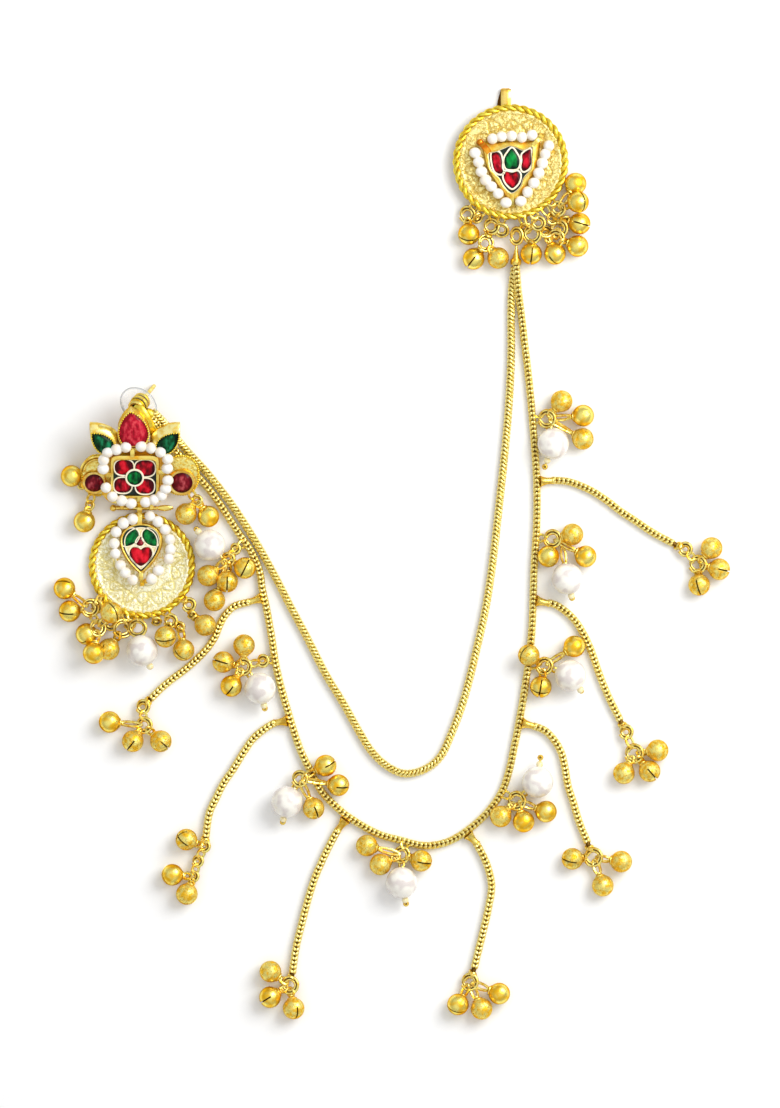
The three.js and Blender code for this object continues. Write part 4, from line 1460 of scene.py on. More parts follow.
# rings; bells; in the order of the side chains that end in them
END_BUNCHES = [
    ([JumpRing(73.3, 1.2, 1.6), JumpRing(76.4, -2.6, 2.1)],
     [Chased(79.9, 1.5), Chased(81.8, -3.8, cut=Cut.CROSS, roll=0), Chased(76.8, -7.7, roll=-14, pitch=25)]),
    ([JumpRing(58.5, -44.5, 1.6), JumpRing(60.5, -49.9, 2.25)],
     [Chased(66.4, -49.1), Chased(64.4, -54.3, cut=Cut.CROSS, roll=0, pitch=12), Chased(58, -54.8)]),
    ([JumpRing(50.3, -75.8, 2.2)],
     [Chased(45.1, -76.2, roll=24, pitch=20), Chased(57.3, -76.9), Chased(52.7, -82.9, roll=84)]),
    ([JumpRing(19.4, -107, 2.0)],
     [Bell(16.5, -112.6, roll=80, pitch=32), Chased(22.4, -113.7), Bell(26.8, -109.9)]),
    ([JumpRing(-25.6, -107.8, 2.1)],
     [Chased(-30.4, -104.4), Bell(-30.5, -110.8, roll=0), Chased(-24.6, -113.6, roll=22)]),
    ([JumpRing(-46.9, -73.1, 1.3), JumpRing(-48.6, -76.8, 1.3), JumpRing(-49.6, -80.6, 1.2)],
     [Chased(-51.4, -71.4, cut=Cut.CROSS, roll=30, pitch=20), Bell(-54.9, -80.2, roll=78, pitch=16),
      Chased(-51.3, -85, pitch=10)]),
    ([JumpRing(-62.3, -38.2, 1.6), JumpRing(-62, -42.8, 1.9)],
     [Bell(-70.6, -42, roll=75, pitch=14), Chased(-64.8, -46.8, roll=6),
      Chased(-57.8, -46.8, cut=Cut.CROSS, roll=88, pitch=20)]),
]
HAIR_RIM = rim(29.65, 98.0, 2.95, 13.5)
DROP_RIM = rim(-62.5, -2.9, 1.25, 12.4)
# piece; body; rim that it hangs from; rings; bells
DISC_BUNCHES = [
    ("hair_bells_left", EARRING, HAIR_RIM,
     [JumpRing(18.8, 84.9, 1.9), JumpRing(24.8, 81.9, 1.9), JumpRing(23.4, 77.7, 2.0, 3.6, 25, 200),
      JumpRing(27.3, 81.0, 1.8, 2.2, 30, 60), JumpRing(21.4, 84.0, 1.2, 2.4, 40, 140)],
     [Bell(19.2, 79.95, roll=97, pitch=40, ring=0), Bell(20.4, 73.8, roll=0, pitch=40), Chased(26.55, 74)]),
    ("hair_bells_middle", EARRING, HAIR_RIM,
     [JumpRing(36.55, 82.7, 1.7, 3.4), JumpRing(35, 79.95, 2.2, 2.6), JumpRing(33.3, 81.4, 1.5, 2.0, 35, 100),
      JumpRing(38.4, 80.6, 1.6, 2.2, 35, 250)],
     [Bell(34.8, 75.05, roll=6, pitch=40), Bell(40.75, 75.05, roll=-35)]),
    ("hair_bells_right", EARRING, HAIR_RIM,
     [JumpRing(41.5, 86.3, 1.75, 3.4), JumpRing(41.65, 81.35, 2.2, 2.4, 15), JumpRing(40.9, 78.9, 2.1, 3.0),
      JumpRing(40.0, 83.9, 1.4, 2.4, 30, 200), JumpRing(43.3, 83.4, 1.2, 1.9, 40, 100)],
     [Bell(46.4, 77.0, roll=80, pitch=15), Bell(46.9, 82.6, roll=4, pitch=30),
      Bell(46.5, 88, 5.4, roll=100, pitch=20), Bell(45.9, 92.6)]),
    ("ear_bell_left_upper", EARRING, rim(-74.45, 17.9, 4.4, 2.9),
     [JumpRing(-77.6, 17.3, 0.9, 3.4, winding=0.3)], [Bell(-80.1, 19.5)]),
    ("ear_bell_left_lower", EARRING, rim(-74.45, 17.9, 3.4, 3.4),
     [JumpRing(-75.6, 12.2, 1.0, 2.6, winding=0.3)], [Bell(-76.9, 8.1)]),
    ("ear_bells_right", EARRING, rim(-52.55, 17.9, 3.4, 3.4),
     [JumpRing(-48.8, 13.4, 1.2, 2.6, winding=0.4)], [Chased(-51.5, 10), Bell(-45.9, 9.4)]),
    ("drop_bells_left", DROP, DROP_RIM,
     [JumpRing(-75.5, -13.5, 2.1, 3.2, 10, 180), JumpRing(-73.6, -18.45, 2.0, 4.2, 20, 200),
      JumpRing(-67.3, -18.6, 2.2, 3.0, 25, 170, squeeze=1.2),
      JumpRing(-63.7, -18.5, 2.1, 3.6, 25, 10, squeeze=1.15, winding=0.6),
      JumpRing(-65.6, -17.6, 1.3, 2.0, 30, 90), JumpRing(-73.8, -13.0, 1.6, 2.4, 35, 20),
      JumpRing(-70.4, -17.6, 1.5, 2.0, 30, 60)],
     [Loose(-81.9, -8.6), Loose(-80.6, -14.3), Loose(-76.4, -20.0), Loose(-74.6, -24.8, 5.2),
      Loose(-70.8, -23.8), Loose(-70.2, -14.65, 7.2)]),
    ("drop_bells_right", DROP, DROP_RIM,
     [JumpRing(-55.4, -16.7, 1.6, 3.0), JumpRing(-50.8, -12.7, 1.6, 2.8),
      JumpRing(-53.0, -18.2, 1.2, 2.2, 35, 30), JumpRing(-58.9, -16.8, 1.1, 2.0, 40, 90),
      JumpRing(-50.0, -15.2, 1.0, 2.2, 40, 90)],
     [Loose(-56.65, -20.7, 5.2), Loose(-52.1, -24), Loose(-46.7, -17.8)]),
]


def build_bunches() -> None:
    """Makes every bunch of bells and every pearl."""
    bells, pearls = BellWork(), PearlWork()
    chain = smooth(lying(LONG_ROUTE))
    for number, (rings, members, place, tip, hook) in enumerate(CHAIN_BUNCHES, 1):
        name = f"chain_bells_{number}"
        bells.bunch(name, rings, members, number, chain).make(EARRING, "gold_satin", name)
        wire = rings[-1].nearest(np.array([*place, JumpRing.z]))[:2] if hook is None else hook
        pearls.build(f"chain_pearl_{number}", EARRING, place, tip, wire)
    for number, ((rings, members), route) in enumerate(zip(END_BUNCHES, SIDE_ROUTES), 1):
        name = f"side_bells_{number}"
        path = smooth(lying(route))
        bells.bunch(name, rings, members, 20 + number, path).make(EARRING, "gold_satin", name)
    for number, (name, body, route, rings, members) in enumerate(DISC_BUNCHES, 1):
        bells.bunch(name, rings, members, 40 + number, route).make(body, "gold_satin", name)
    pearls.build("drop_pearl", DROP, (-62.5, -24.15), (-60.45, -28.2), (-62.9, -20.8))


# ---- discs ----
def grains(outline: Array, z: float, radius: float, spacing: float, seed: int) -> Shape:
    """Small balls along a closed outline, evenly spaced and slightly uneven in size.

    Args:
        outline: The outline.
        z: Height of their middles.
        radius: Their radius.
        spacing: Distance from one to the next.
        seed: Seed of their sizes.

    Returns:
        All balls as one shape.
    """
    route = np.concatenate([outline, outline[:1]])
    count = max(int(length_of(route) / spacing), 3)
    spots = by_length(route, np.arange(count) * length_of(route) / count)
    rng = np.random.default_rng(seed)
    sizes = radius * rng.uniform(0.8, 1.15, count)
    places = np.column_stack([spots, np.full(count, z)])
    return ball(1.0, 8, 5).copies(np.eye(3) * sizes[:, None, None], places, seed)


@dataclass(frozen=True)
class SeedString:
    """Rows of small pearls on a wire.

    Attributes:
        rows: Rows of x and y.
        z: Height of their middles.
        radius: Their radius.
        wire: The wire's radius.
        seed: Seed of their small unevenness.
    """

    rows: Sequence[Sequence[Pair]]
    z: float
    radius: float = 1.42
    wire: float = 0.16
    seed: int = 5

    def pearls(self) -> Shape:
        """The pearls, each turned at random and up to a twentieth larger or smaller."""
        places = np.array([[x, y, self.z] for row in self.rows for x, y in row])
        rng = np.random.default_rng(self.seed)
        sizes = self.radius * rng.uniform(0.94, 1.06, (len(places), 3))
        sizes[:, 2] *= 0.94
        turns = np.eye(3) * sizes[:, None]
        return ball(1.0, 18, 12).copies(turns, places, self.seed)

    def wires(self) -> list[Shape]:
        """The wire through each row, a little longer than the row."""
        found = []
        for row in self.rows:
            path = np.array([[x, y, self.z] for x, y in row])
            path = np.concatenate([[2 * path[0] - path[1]], path, [2 * path[-1] - path[-2]]])
            path[0] = (path[0] + path[1]) / 2 - [0, 0, 0.9]
            path[-1] = (path[-1] + path[-2]) / 2 - [0, 0, 0.9]
            found.append(swept(smooth(path, 4), circle(6, self.wire)))
        return found

    def make(self, name: str, body: str, disc: CoinDisc) -> None:
        """Makes the pearls and their wires one piece on a disc."""
        piece = disc.put(Piece(name), SEED, self.pearls())
        disc.put(piece, WIRE_GOLD, *self.wires()).make(body, "seed_pearl", name)


@dataclass(frozen=True)
class CoinDisc:
    """A stamped disc in a rim of twisted rope.

    Attributes:
        place: Where the middle of its back is.
        radius: Radius over the rope.
        face: Finish of the stamped face.
        seed: Seed of the stamped pattern.
        thick: Thickness of the plate.
        rope: Width of the rope.
        rope_z: Height of the rope's middle.
        turns: How often the strands turn about each other.
        strand: Radius of a strand.
        offset: How far a strand's middle is from the rope's.
        relief: Depth of the stamping.
        leaves: Leaves in the stamped ring.
    """

    place: Spot
    radius: float
    face: Finish
    seed: int
    thick: float = 1.0
    rope: float = 1.9
    rope_z: float = 0.75
    turns: int = 19
    strand: float = 0.56
    offset: float = 0.42
    relief: float = 0.16
    leaves: int = 14

    def field(self, x: Array, y: Array, wave: float, seed: int) -> Array:
        """A smooth random field: eight cosine waves in random directions, about one high.

        Args:
            x: Places on the face.
            y: Places on the face.
            wave: Length of the waves.
            seed: What tells this field from the disc's others.

        Returns:
            Its values at the places.
        """
        rng = np.random.default_rng(self.seed + seed)
        angle, phase = rng.uniform(0, 2 * math.pi, (2, 8))
        pace = 2 * math.pi / (wave * rng.uniform(0.8, 1.3, 8))
        waves = np.cos(pace * (np.cos(angle) * x[..., None] + np.sin(angle) * y[..., None]) + phase)
        return waves.sum(-1) / 2.0

    def stamping(self, x: Array, y: Array, reach: Array, turn: Array) -> Array:
        """Depth of the sunk lines, 0 to 1: a ring of leaves, broken scrolls, and dashes inside the rope.

        Args:
            x: Places on the face.
            y: Places on the face.
            reach: Their distances from the middle.
            turn: Their directions in radians.

        Returns:
            The depth at each place.
        """
        edge = self.radius - self.rope
        share = self.leaves * turn / (2 * math.pi) + 0.5
        along = (share - np.round(share)) * 2 * math.pi * reach / self.leaves
        across = reach - edge + 2.9 + 0.35 * self.field(x, y, 6.0, 4)
        leaf = np.exp(-(((np.hypot(along / (1.75 - 0.5 * across), across / 1.5) - 0.85) / 0.19) ** 2))
        vein = np.exp(-((along / 0.2) ** 2)) * (abs(across) < 0.9)
        patchy = 0.5 + 0.5 * np.tanh(2 * self.field(x, y, 7.0, 3))
        scroll = np.exp(-((self.field(x, y, 2.6, 1) / 0.2) ** 2)) * (0.3 + 0.5 * patchy)
        dashes = (0.5 + 0.5 * np.cos(60 * turn)) * np.exp(-(((reach - edge + 1.0) / 0.45) ** 2)) * patchy
        return (scroll + 1.1 * leaf + 0.6 * vein + 0.8 * dashes).clip(0, 1)

    def plate(self) -> Shape:
        """Rings of points from the middle out, sunk by the stamping, with painted shade in it, then a flat
        back.
        """
        edge = self.radius - self.rope + 0.35
        reach = np.linspace(0.012, 1, 84)[:, None] * edge
        turn = np.linspace(0, 2 * math.pi, 320, endpoint=False)[None]
        x, y = reach * np.cos(turn), reach * np.sin(turn)
        lines = self.stamping(x, y, reach, turn)
        height = self.relief * (0.4 - lines + 0.7 * np.exp(-(((reach - edge + 0.6) / 0.25) ** 2)))
        top = np.stack([x, y, self.thick + height], -1)
        back = np.stack([top[-1] * [1, 1, 0], top[-1] * [0.5, 0.5, 0]])
        # painted shade in the sunk stamping and along the rim under the rope
        face_shade = (lines + 0.8 * eased(reach, edge - 0.35, edge)).clip(0, 1)
        shade = np.concatenate([face_shade * 0.9, np.zeros(back.shape[:2])])
        middles = np.array([[0, 0, self.thick], [0, 0, 0]])
        return skin_of(np.concatenate([top, back]), middles, shade)

    def strands(self) -> list[Shape]:
        """Two strands about the rope's middle line, half a turn apart, with painted shade where they are near
        it.
        """
        around = np.linspace(0, 2 * math.pi, 12 * self.turns, endpoint=False)
        ring = self.radius - self.rope / 2
        found = []
        for start in (0.0, math.pi):
            twist = start - self.turns * around
            out = ring + self.offset * np.cos(twist)
            up = self.rope_z + self.offset * np.sin(twist)
            path = np.stack([out * np.cos(around), out * np.sin(around), up], -1)
            strand = swept(path, circle(10, self.strand), closed=True)
            out = np.hypot(strand.points[:, 0], strand.points[:, 1]) - ring
            # painted shade where the strands dip into the rope's middle
            depth = 0.65 - 0.65 * eased(np.hypot(out, strand.points[:, 2] - self.rope_z), 0.40, 0.70)
            found.append(replace(strand, shade=depth))
        return found

    def put(self, piece: Piece, finish: Finish, *shapes: Shape) -> Piece:
        """Adds shapes of the disc's frame to a piece, at the disc's place."""
        return piece.add(finish, *(shape.at(*self.place) for shape in shapes))

    def piece(self, name: str) -> Piece:
        """The disc's piece with its face and rope."""
        return self.put(self.put(Piece(name), self.face, self.plate()), ROPE_GOLD, *self.strands())


class Inlay:
    """Stones between enamel lines on a ground."""

    def __init__(self, name: str, ground: float, place: Row, turn: Array | None = None) -> None:
        """Starts an inlay.

        Args:
            name: Its name.
            ground: Height of its ground in its own frame.
            place: Where its frame's origin is.
            turn: Its frame's axes as columns, if not the usual ones.
        """
        self.piece = Piece(name)
        self.ground = ground
        self.place = place
        self.turn = np.eye(3) if turn is None else turn

    def put(self, finish: Finish, shape: Shape) -> Inlay:
        """Adds a shape in its finish."""
        self.piece.add(finish, shape.moved(self.turn, self.place, len(self.piece.shapes)))
        return self

    def base(self, finish: Finish, outline: Array) -> Inlay:
        """The ground plate."""
        return self.put(finish, cushion(outline, self.ground - 1.0, self.ground, 0.05, steps=3))

    def line(self, outline: Array, width: float, tall: float = 0.32, finish: Finish = CREAM) -> Inlay:
        """An enamel line along an outline."""
        return self.put(finish, bead_line(outline, width, self.ground, tall))

    def stone(self, finish: Finish, outline: Array, crown: float, lined: float) -> Inlay:
        """A stone and the enamel line round it."""
        self.put(finish, cushion(outline, self.ground - 0.5, self.ground, crown, 2.6))
        return self.line(inset(outline, -0.42 * lined), lined)

    def make(self, body: str) -> None:
        """Makes the inlay on its body."""
        self.piece.make(body, "cream_enamel", self.piece.name)


# outlines of the hair disc's setting, point by point in step, in the disc's frame
LOTUS = [
    (-5.6, 2.3), (-3.7, 2.75), (-1.7, 3.6), (-0.25, 4.15), (1.5, 3.75), (3.1, 3.1), (5.45, 3.9),
    (5.45, 1.0), (5.25, -1.7), (3.4, -4.1), (2.6, -6.2), (0.25, -7.95), (-1.8, -6.2), (-2.9, -4.3),
    (-5.0, -2.0), (-5.55, 0.1),
]
SHIELD = [
    (-7.0, 4.5), (-4.4, 4.8), (-2.0, 5.1), (0.1, 5.3), (2.0, 5.3), (4.4, 5.2), (7.2, 5.5), (7.1, 2.2),
    (6.5, -1.2), (5.2, -4.0), (3.4, -6.9), (0.4, -10.0), (-2.3, -7.2), (-4.2, -4.6), (-5.9, -1.6),
    (-6.7, 1.6),
]
PETALS = [
    [(-4.6, 2.4), (-2.8, 2.3), (-2.15, 0.3), (-2.15, -1.5), (-1.75, -2.6), (-2.7, -3.0), (-3.85, -2.4),
     (-4.5, -0.8)],
    [(4.95, 3.2), (5.1, 1.6), (5.15, -0.4), (4.35, -1.8), (3.15, -2.3), (2.65, -1.5), (2.9, 0.4), (2.9, 1.9)],
    [(-1.3, -2.4), (0.4, -2.62), (1.8, -2.35), (2.4, -3.2), (2.15, -4.8), (1.5, -5.8), (0.4, -6.6),
     (-0.8, -5.7), (-1.6, -4.4), (-1.75, -3.2)],
    [(0.35, 3.45), (1.4, 2.2), (2.2, 0.6), (2.1, -0.8), (1.6, -1.65), (0.35, -1.85), (-1.0, -1.65),
     (-1.55, -0.6), (-1.5, 1.0), (-0.7, 2.4)],
]
HAIR_SEEDS = [
    [(-4.5, 5.8), (-2.25, 6.35), (0.25, 6.5), (2.85, 6.2), (5.35, 6.7)],
    [(-8.9, 2.3), (-8, 0), (-7.3, -2.4), (-6.25, -4.5), (-4.85, -6.1), (-3.1, -7.9), (-1.15, -10.15)],
    [(9.55, 4.05), (8.65, 1.95), (7.95, -0.3), (7.05, -2.8), (5.85, -5.25), (4.25, -7.5), (2.55, -9.8)],
]


@dataclass(frozen=True)
class HairOrnament:
    """The disc that is pinned in the hair, with its hook.

    rim and ground are the heights of the setting's lip and of the inlay's ground over the disc's back.
    """

    disc: CoinDisc = CoinDisc((29.65, 98.0, 2.2), 14.5, FACE_GOLD, 11)
    rim: float = 3.0
    ground: float = 2.45
    hook_x: float = 28.45
    hook_wide: float = 2.5
    hook_thick: float = 0.5

    def build(self) -> None:
        """Makes the disc, its inlay, its pearls and the hook."""
        self.setting(self.disc.piece("hair_disc")).make(EARRING, "gold_coin", "hair_disc")
        self.inlay()
        SeedString(HAIR_SEEDS, 2.5, seed=3).make("hair_seed_pearls", EARRING, self.disc)
        self.hook()

    def setting(self, piece: Piece) -> Piece:
        """A sloped wall from the shield outline up to a thin lip round the lotus, and its prongs."""
        outer, inner = smooth(SHIELD, 8, closed=True), smooth(LOTUS, 8, closed=True)
        inside = inset(inner, 0.12)
        rows = [outer, outer, 0.72 * outer + 0.28 * inner, 0.3 * outer + 0.7 * inner, inner, inside, inside]
        slope = lofted(rows, [0.6, 1.5, 2.45, 2.8, self.rim, self.rim - 0.1, 0.6])
        lip = bead_line(inset(inner, -0.1), 0.4, self.rim - 0.12, 0.24)
        prongs = [
            ribbon([(0.3, -7.9, 2.9), (0.35, -9.4, 2.7), (0.45, -11.3, 1.3)], 1.1, 0.5),
            ribbon([(5.6, 4.2, 2.95), (6.9, 5.6, 2.9), (7.9, 6.9, 1.4)], 1.1, 0.5),
        ]
        knob = ball(0.8, 12, 8).at(-7.6, 5.0, 1.9)
        claw = ribbon([(-5.3, 2.3, 2.95), (-6.6, 3.9, 2.7), (-7.9, 5.3, 1.4)], 1.5, 0.5)
        self.disc.put(piece, AMBER_GOLD, slope)
        self.disc.put(piece, COPPER_GOLD, knob, claw)
        return self.disc.put(piece, WIRE_GOLD, lip, *prongs)

    def inlay(self) -> None:
        """A lotus of one green and three red petals on dark enamel."""
        inlay = Inlay("hair_inlay", self.ground, self.disc.place)
        inner = smooth(LOTUS, 8, closed=True)
        inlay.base(DARK_GROUND, inset(inner, 0.05)).line(inset(inner, 0.12), 0.3)
        for finish, petal in zip((DEEP_RUBY, DEEP_RUBY, RUBY, EMERALD), PETALS):
            inlay.stone(finish, smooth(petal, 6, closed=True), 0.25, 0.46)
        inlay.make(EARRING)

    def hook(self) -> None:
        """A flat strip folded over at the top, its front up from the disc, its back slightly askew."""
        x = self.hook_x
        line = [
            (x + 0.1, 97, 1.42), (x + 0.05, 108, 1.42), (x, 115.2, 1.42), (x, 115.95, 1.2), (x, 116.2, 0.83),
            (x - 0.05, 115.95, 0.46), (x - 0.2, 115.2, 0.29), (x - 0.85, 112.6, 0.29), (x - 1.2, 106, 0.29),
            (x - 1.5, 94, 0.29),
        ]
        section = rounded_square(self.hook_thick, self.hook_wide, 20)
        strip = swept(smooth(line, 8), section, np.array([-1.0, 0, 0]))
        # painted shadow on the back leg, which lies low under the front one
        strip = replace(strip, shade=0.9 * eased(-strip.points[:, 2], -0.9, -0.6))
        Piece("hair_hook").add(GOLD, strip).make(EARRING, "gold_polished", "hair_hook")


DROP_SEEDS = [
    [(-2.35, 11.6), (-4.65, 10.6), (-6.5, 8.4), (-6.95, 5.55), (-6.7, 3.0), (-5.4, 0.1), (-4.2, -1.8),
     (-2.35, -3.6)],
    [(1.95, 12.4), (3.95, 11.0), (5.8, 9.0), (7.0, 6.55), (7.1, 4.0), (6.7, 1.7)],
    [(4.1, -1.2), (2.4, -3.35)],
]


@dataclass(frozen=True)
class EarDrop:
    """The disc that swings below the ear top.

    rim and ground are heights over the disc's back, and middle is the setting's place in the disc's
    frame. The strip that the disc hangs by is at bail_x, over the pin.
    """

    disc: CoinDisc = CoinDisc((-62.5, -2.9, 0.5), 13.4, PALE_FACE_GOLD, 29)
    rim: float = 3.0
    ground: float = 2.5
    middle: Pair = (-0.25, 4.25)
    pin_y: float = 11.5
    pin_z: float = 1.9
    bail_x: float = -63.1

    def build(self) -> None:
        """Makes the disc with its bail, the inlay and the pearls."""
        self.setting(self.disc.piece("drop_disc")).make(DROP, "gold_coin", "drop_disc")
        self.inlay()
        SeedString(DROP_SEEDS, 3.05, seed=8).make("drop_seed_pearls", DROP, self.disc)

    def tear(self, width: float, length: float, shift: float = 0.0) -> Array:
        """The setting's outline, point down."""
        return placed(teardrop(width, length, 0.85, 96), self.middle[0], self.middle[1] + shift, 180)

    def setting(self, piece: Piece) -> Piece:
        """A wall that narrows upwards to a round lip, two prongs and the strip that loops over the pin."""
        outer, inner = self.tear(10.8, 13.1), self.tear(10.0, 12.3)
        rows = [outer, outer, 0.4 * outer + 0.6 * inner, inner, inset(inner, 0.3), inset(inner, 0.3)]
        slope = lofted(rows, [0.6, 1.4, 2.6, self.rim, self.rim - 0.05, 0.6])
        lip = bead_line(inset(inner, 0.04), 0.28, self.rim - 0.1, 0.26)
        foot = ribbon([(-0.25, -1.8, 2.9), (-0.2, -3.2, 2.9), (0.1, -4.9, 1.3)], 1.0, 0.5)
        knot = ball(0.62, 12, 8).at(0.9, -3.9, 1.7)
        x, y, z = (a - b for a, b in zip((self.bail_x, self.pin_y, self.pin_z), self.disc.place))
        loop = [
            (x, 10.2, 3.15), (x, 12.2, 3.05), (x, y - 0.5, z + 1.05), (x, y, z + 1.1),
            (x, y + 0.75, z + 0.75), (x, y + 1.05, z), (x, y + 0.7, z - 0.8), (x, y, z - 1.05),
            (x, y - 0.9, z - 0.85), (x, 11.5, 0.55),
        ]
        bail = swept(smooth(loop, 6), rounded_square(0.45, 1.25, 20), np.array([-1.0, 0, 0]))
        self.disc.put(piece, AMBER_GOLD, slope, knot)
        return self.disc.put(piece, WIRE_GOLD, lip, foot, bail)

    def inlay(self) -> None:
        """Two green leaves, a small dark triangle and a red heart on pale enamel."""
        inlay = Inlay("drop_inlay", self.ground, self.disc.place)
        inlay.base(PALE_GROUND, self.tear(9.4, 11.7))
        inlay.line(self.tear(9.25, 11.5), 0.75, 0.2, DARK_GROUND).line(self.tear(8.2, 10.3, 0.05), 0.3)
        for side in (-1, 1):
            leaf = placed(teardrop(3.7, 5.1, 0.3), -0.4 + side * 2.6, 6.95, -side * 140)
            inlay.stone(EMERALD, leaf, 0.3, 0.32)
        inlay.stone(WINE, placed(teardrop(2.0, 2.5, 1.0, 32), -0.55, 6.1), 0.35, 0.3)
        inlay.stone(RUBY, placed(fat_heart(5.8, 4.9), -0.3, 2.3), 0.3, 0.32)
        inlay.make(DROP)


# ---- ear top ----
TOP_SEEDS = [
    (-62.7, 26.9), (-60.3, 26.5), (-57.9, 25.45), (-56.1, 23.7), (-56.2, 21.4), (-56.05, 18.4), (-56.6, 16.3),
    (-57.6, 14.6), (-59.5, 13.55), (-61.6, 13.0), (-65.25, 12.65), (-67.6, 13.35), (-69.9, 14.35),
    (-71.5, 16.6), (-72.2, 21.3), (-72.1, 23.5), (-71.1, 25.4), (-68.9, 26.1), (-66.55, 26.7),
]


@dataclass(frozen=True)
class EarTop:
    """The jewelled top that leans on its post.

    Its own frame has its origin on the drop's pin, its second axis up along the face and its third out
    of the face. lean is in degrees, box is the middle of the square box, and the last three are heights
    of the box's frame, of the inlay's ground and of the seed pearls' middles.
    """

    origin: Spot = (-64.1, 11.5, 1.9)
    lean: float = 21.0
    box: Pair = (-0.2, 9.45)
    box_size: Pair = (12.0, 11.2)
    rim: float = 3.0
    ground: float = 2.55
    seed_height: float = 3.1

    @property
    def turn(self) -> Array:
        """The lean about X."""
        return about(np.array([1.0, 0, 0]), math.radians(self.lean))

    def local(self, x: float, y: float, height: float) -> Pair:
        """Where a place seen from straight above is in the top's own frame, at a height over its plate."""
        lean = math.radians(self.lean)
        return x - self.origin[0], (y - self.origin[1] + height * math.sin(lean)) / math.cos(lean)

    def at(self, shape: Shape, seed: int = 0) -> Shape:
        """A shape moved from the top's frame to its place."""
        return shape.moved(self.turn, self.origin, seed)

    def build(self) -> None:
        """Makes the gold work, the inlay, the stones and the pearls."""
        gold = Piece("ear_top")
        self.plate(gold)
        self.cups(gold)
        self.pin(gold)
        gold.make(EARRING, "gold_polished", "ear_top")
        self.inlay()
        self.stones()
        self.pearls()

    def plate(self, gold: Piece) -> None:
        """The base plate, the square box with its frame, and the strips that hold the pearls' wire."""
        x, y = self.box
        base = cushion(placed(rounded_square(17.0, 16.8, 96, 4), x, y), -0.3, 0.2, 0.25, steps=4).unshaded()
        wide, tall = self.box_size
        outer = placed(rounded_square(wide, tall, 96, 9), x, y)
        inner = placed(rounded_square(wide - 1.2, tall - 1.5, 96, 9), x, y - 0.25)
        rows = [inset(outer, -0.25), inset(outer, -0.1), outer, inset(outer, 0.2), inner, inset(inner, 0.05)]
        box = lofted(rows, [0.2, 2.2, self.rim - 0.1, self.rim, self.rim, self.ground - 1.0])
        lip = bead_line(inset(inner, -0.12), 0.34, self.rim - 0.08, 0.2)
        strips = [
            [(-0.8, 14.8, 2.95), (-0.8, 16.2, 2.9), (-0.8, 18.2, 1.6)],
            [(5.7, 10.7, 2.9), (7.4, 10.9, 2.8), (9.6, 10.9, 1.2)],
            [(-6.0, 10.0, 2.9), (-7.6, 10.1, 2.6), (-9.3, 10.1, 1.0)],
            [(0.95, 4.2, 2.9), (0.95, 2.6, 2.7), (0.95, 0.9, 1.0)],
        ]
        gold.add(AMBER_GOLD, self.at(base), self.at(box, 3)).add(WIRE_GOLD, self.at(lip))
        gold.add(WIRE_GOLD, *(self.at(ribbon(strip, 1.15, 0.5), i) for i, strip in enumerate(strips)))

    def cups(self, gold: Piece) -> None:
        """The cups of the petals and of the two round stones, with their backing shells."""
        for base, rim, height in (
            (placed(teardrop(8.0, 10.0, 0.5, 96), -0.6, 22.2, 7), self.red_petal(-0.32), 2.9),
            (placed(teardrop(6.3, 9.4, 0.75, 96), -8.2, 19.5, 44), self.green_petal(-1, -0.35), 2.6),
            (placed(teardrop(6.3, 9.4, 0.75, 96), 7.8, 19.5, -44), self.green_petal(1, -0.35), 2.6),
        ):
            inner = inset(rim, 0.28)
            rows = [base, base, rim, inner, inset(inner, 0.05)]
            cup = lofted(rows, [-0.3, height - 1.3, height, height, 0.6])
            gold.add(CUP_GOLD, self.at(cup))
            gold.add(ROPE_GOLD, self.at(grains(inner, height + 0.1, 0.24, 0.64, 4)))
        for side, (x, y), radius, (u, v, wide, tall) in (
            (-1, (-10.35, 7.0), 3.1, (-9.6, 8.6, 7.8, 11.0)),
            (1, (11.55, 7.05), 3.45, (11.4, 8.6, 9.0, 10.6)),
        ):
            ring = placed(circle(64, radius), x, y)
            rows = [ring, ring, inset(ring, 0.2), inset(ring, 0.75), inset(ring, 0.8)]
            cup = lofted(rows, [-0.5, 0.5, 0.85, 0.8, -0.2])
            outline = placed(rounded_square(wide, tall, 64, 2.2), u, v)
            back = cushion(outline, -0.9, -0.5, 0.55).unshaded()
            gold.add(GOLD, self.at(cup)).add(GRAIN_GOLD, self.at(back, side + 7))
            gold.add(ROPE_GOLD, self.at(grains(inset(outline, 0.1), -0.4, 0.33, 0.6, 9 + side)))
        angles = np.radians(np.linspace(62, 178, 24))
        arc = np.stack([np.cos(angles), np.sin(angles), 0 * angles], -1)
        for reach in (3.5, 4.2):
            gold.add(WIRE_GOLD, self.at(swept(reach * arc + (-9.5, 9.6, 0.2), circle(7, 0.3))))

    @staticmethod
    def red_petal(by: float = 0.0) -> Array:
        """The red stone's outline, drawn in by a distance."""
        return inset(placed(teardrop(7.4, 9.7, 0.5, 96), -0.65, 21.9, 8), by)

    @staticmethod
    def green_petal(side: int, by: float = 0.0) -> Array:
        """A green stone's outline, on the left or the right, drawn in by a distance."""
        return inset(placed(teardrop(4.4, 6.9, 0.7, 96), 8.35 * side - 0.1, 18.5, -46 * side), by)

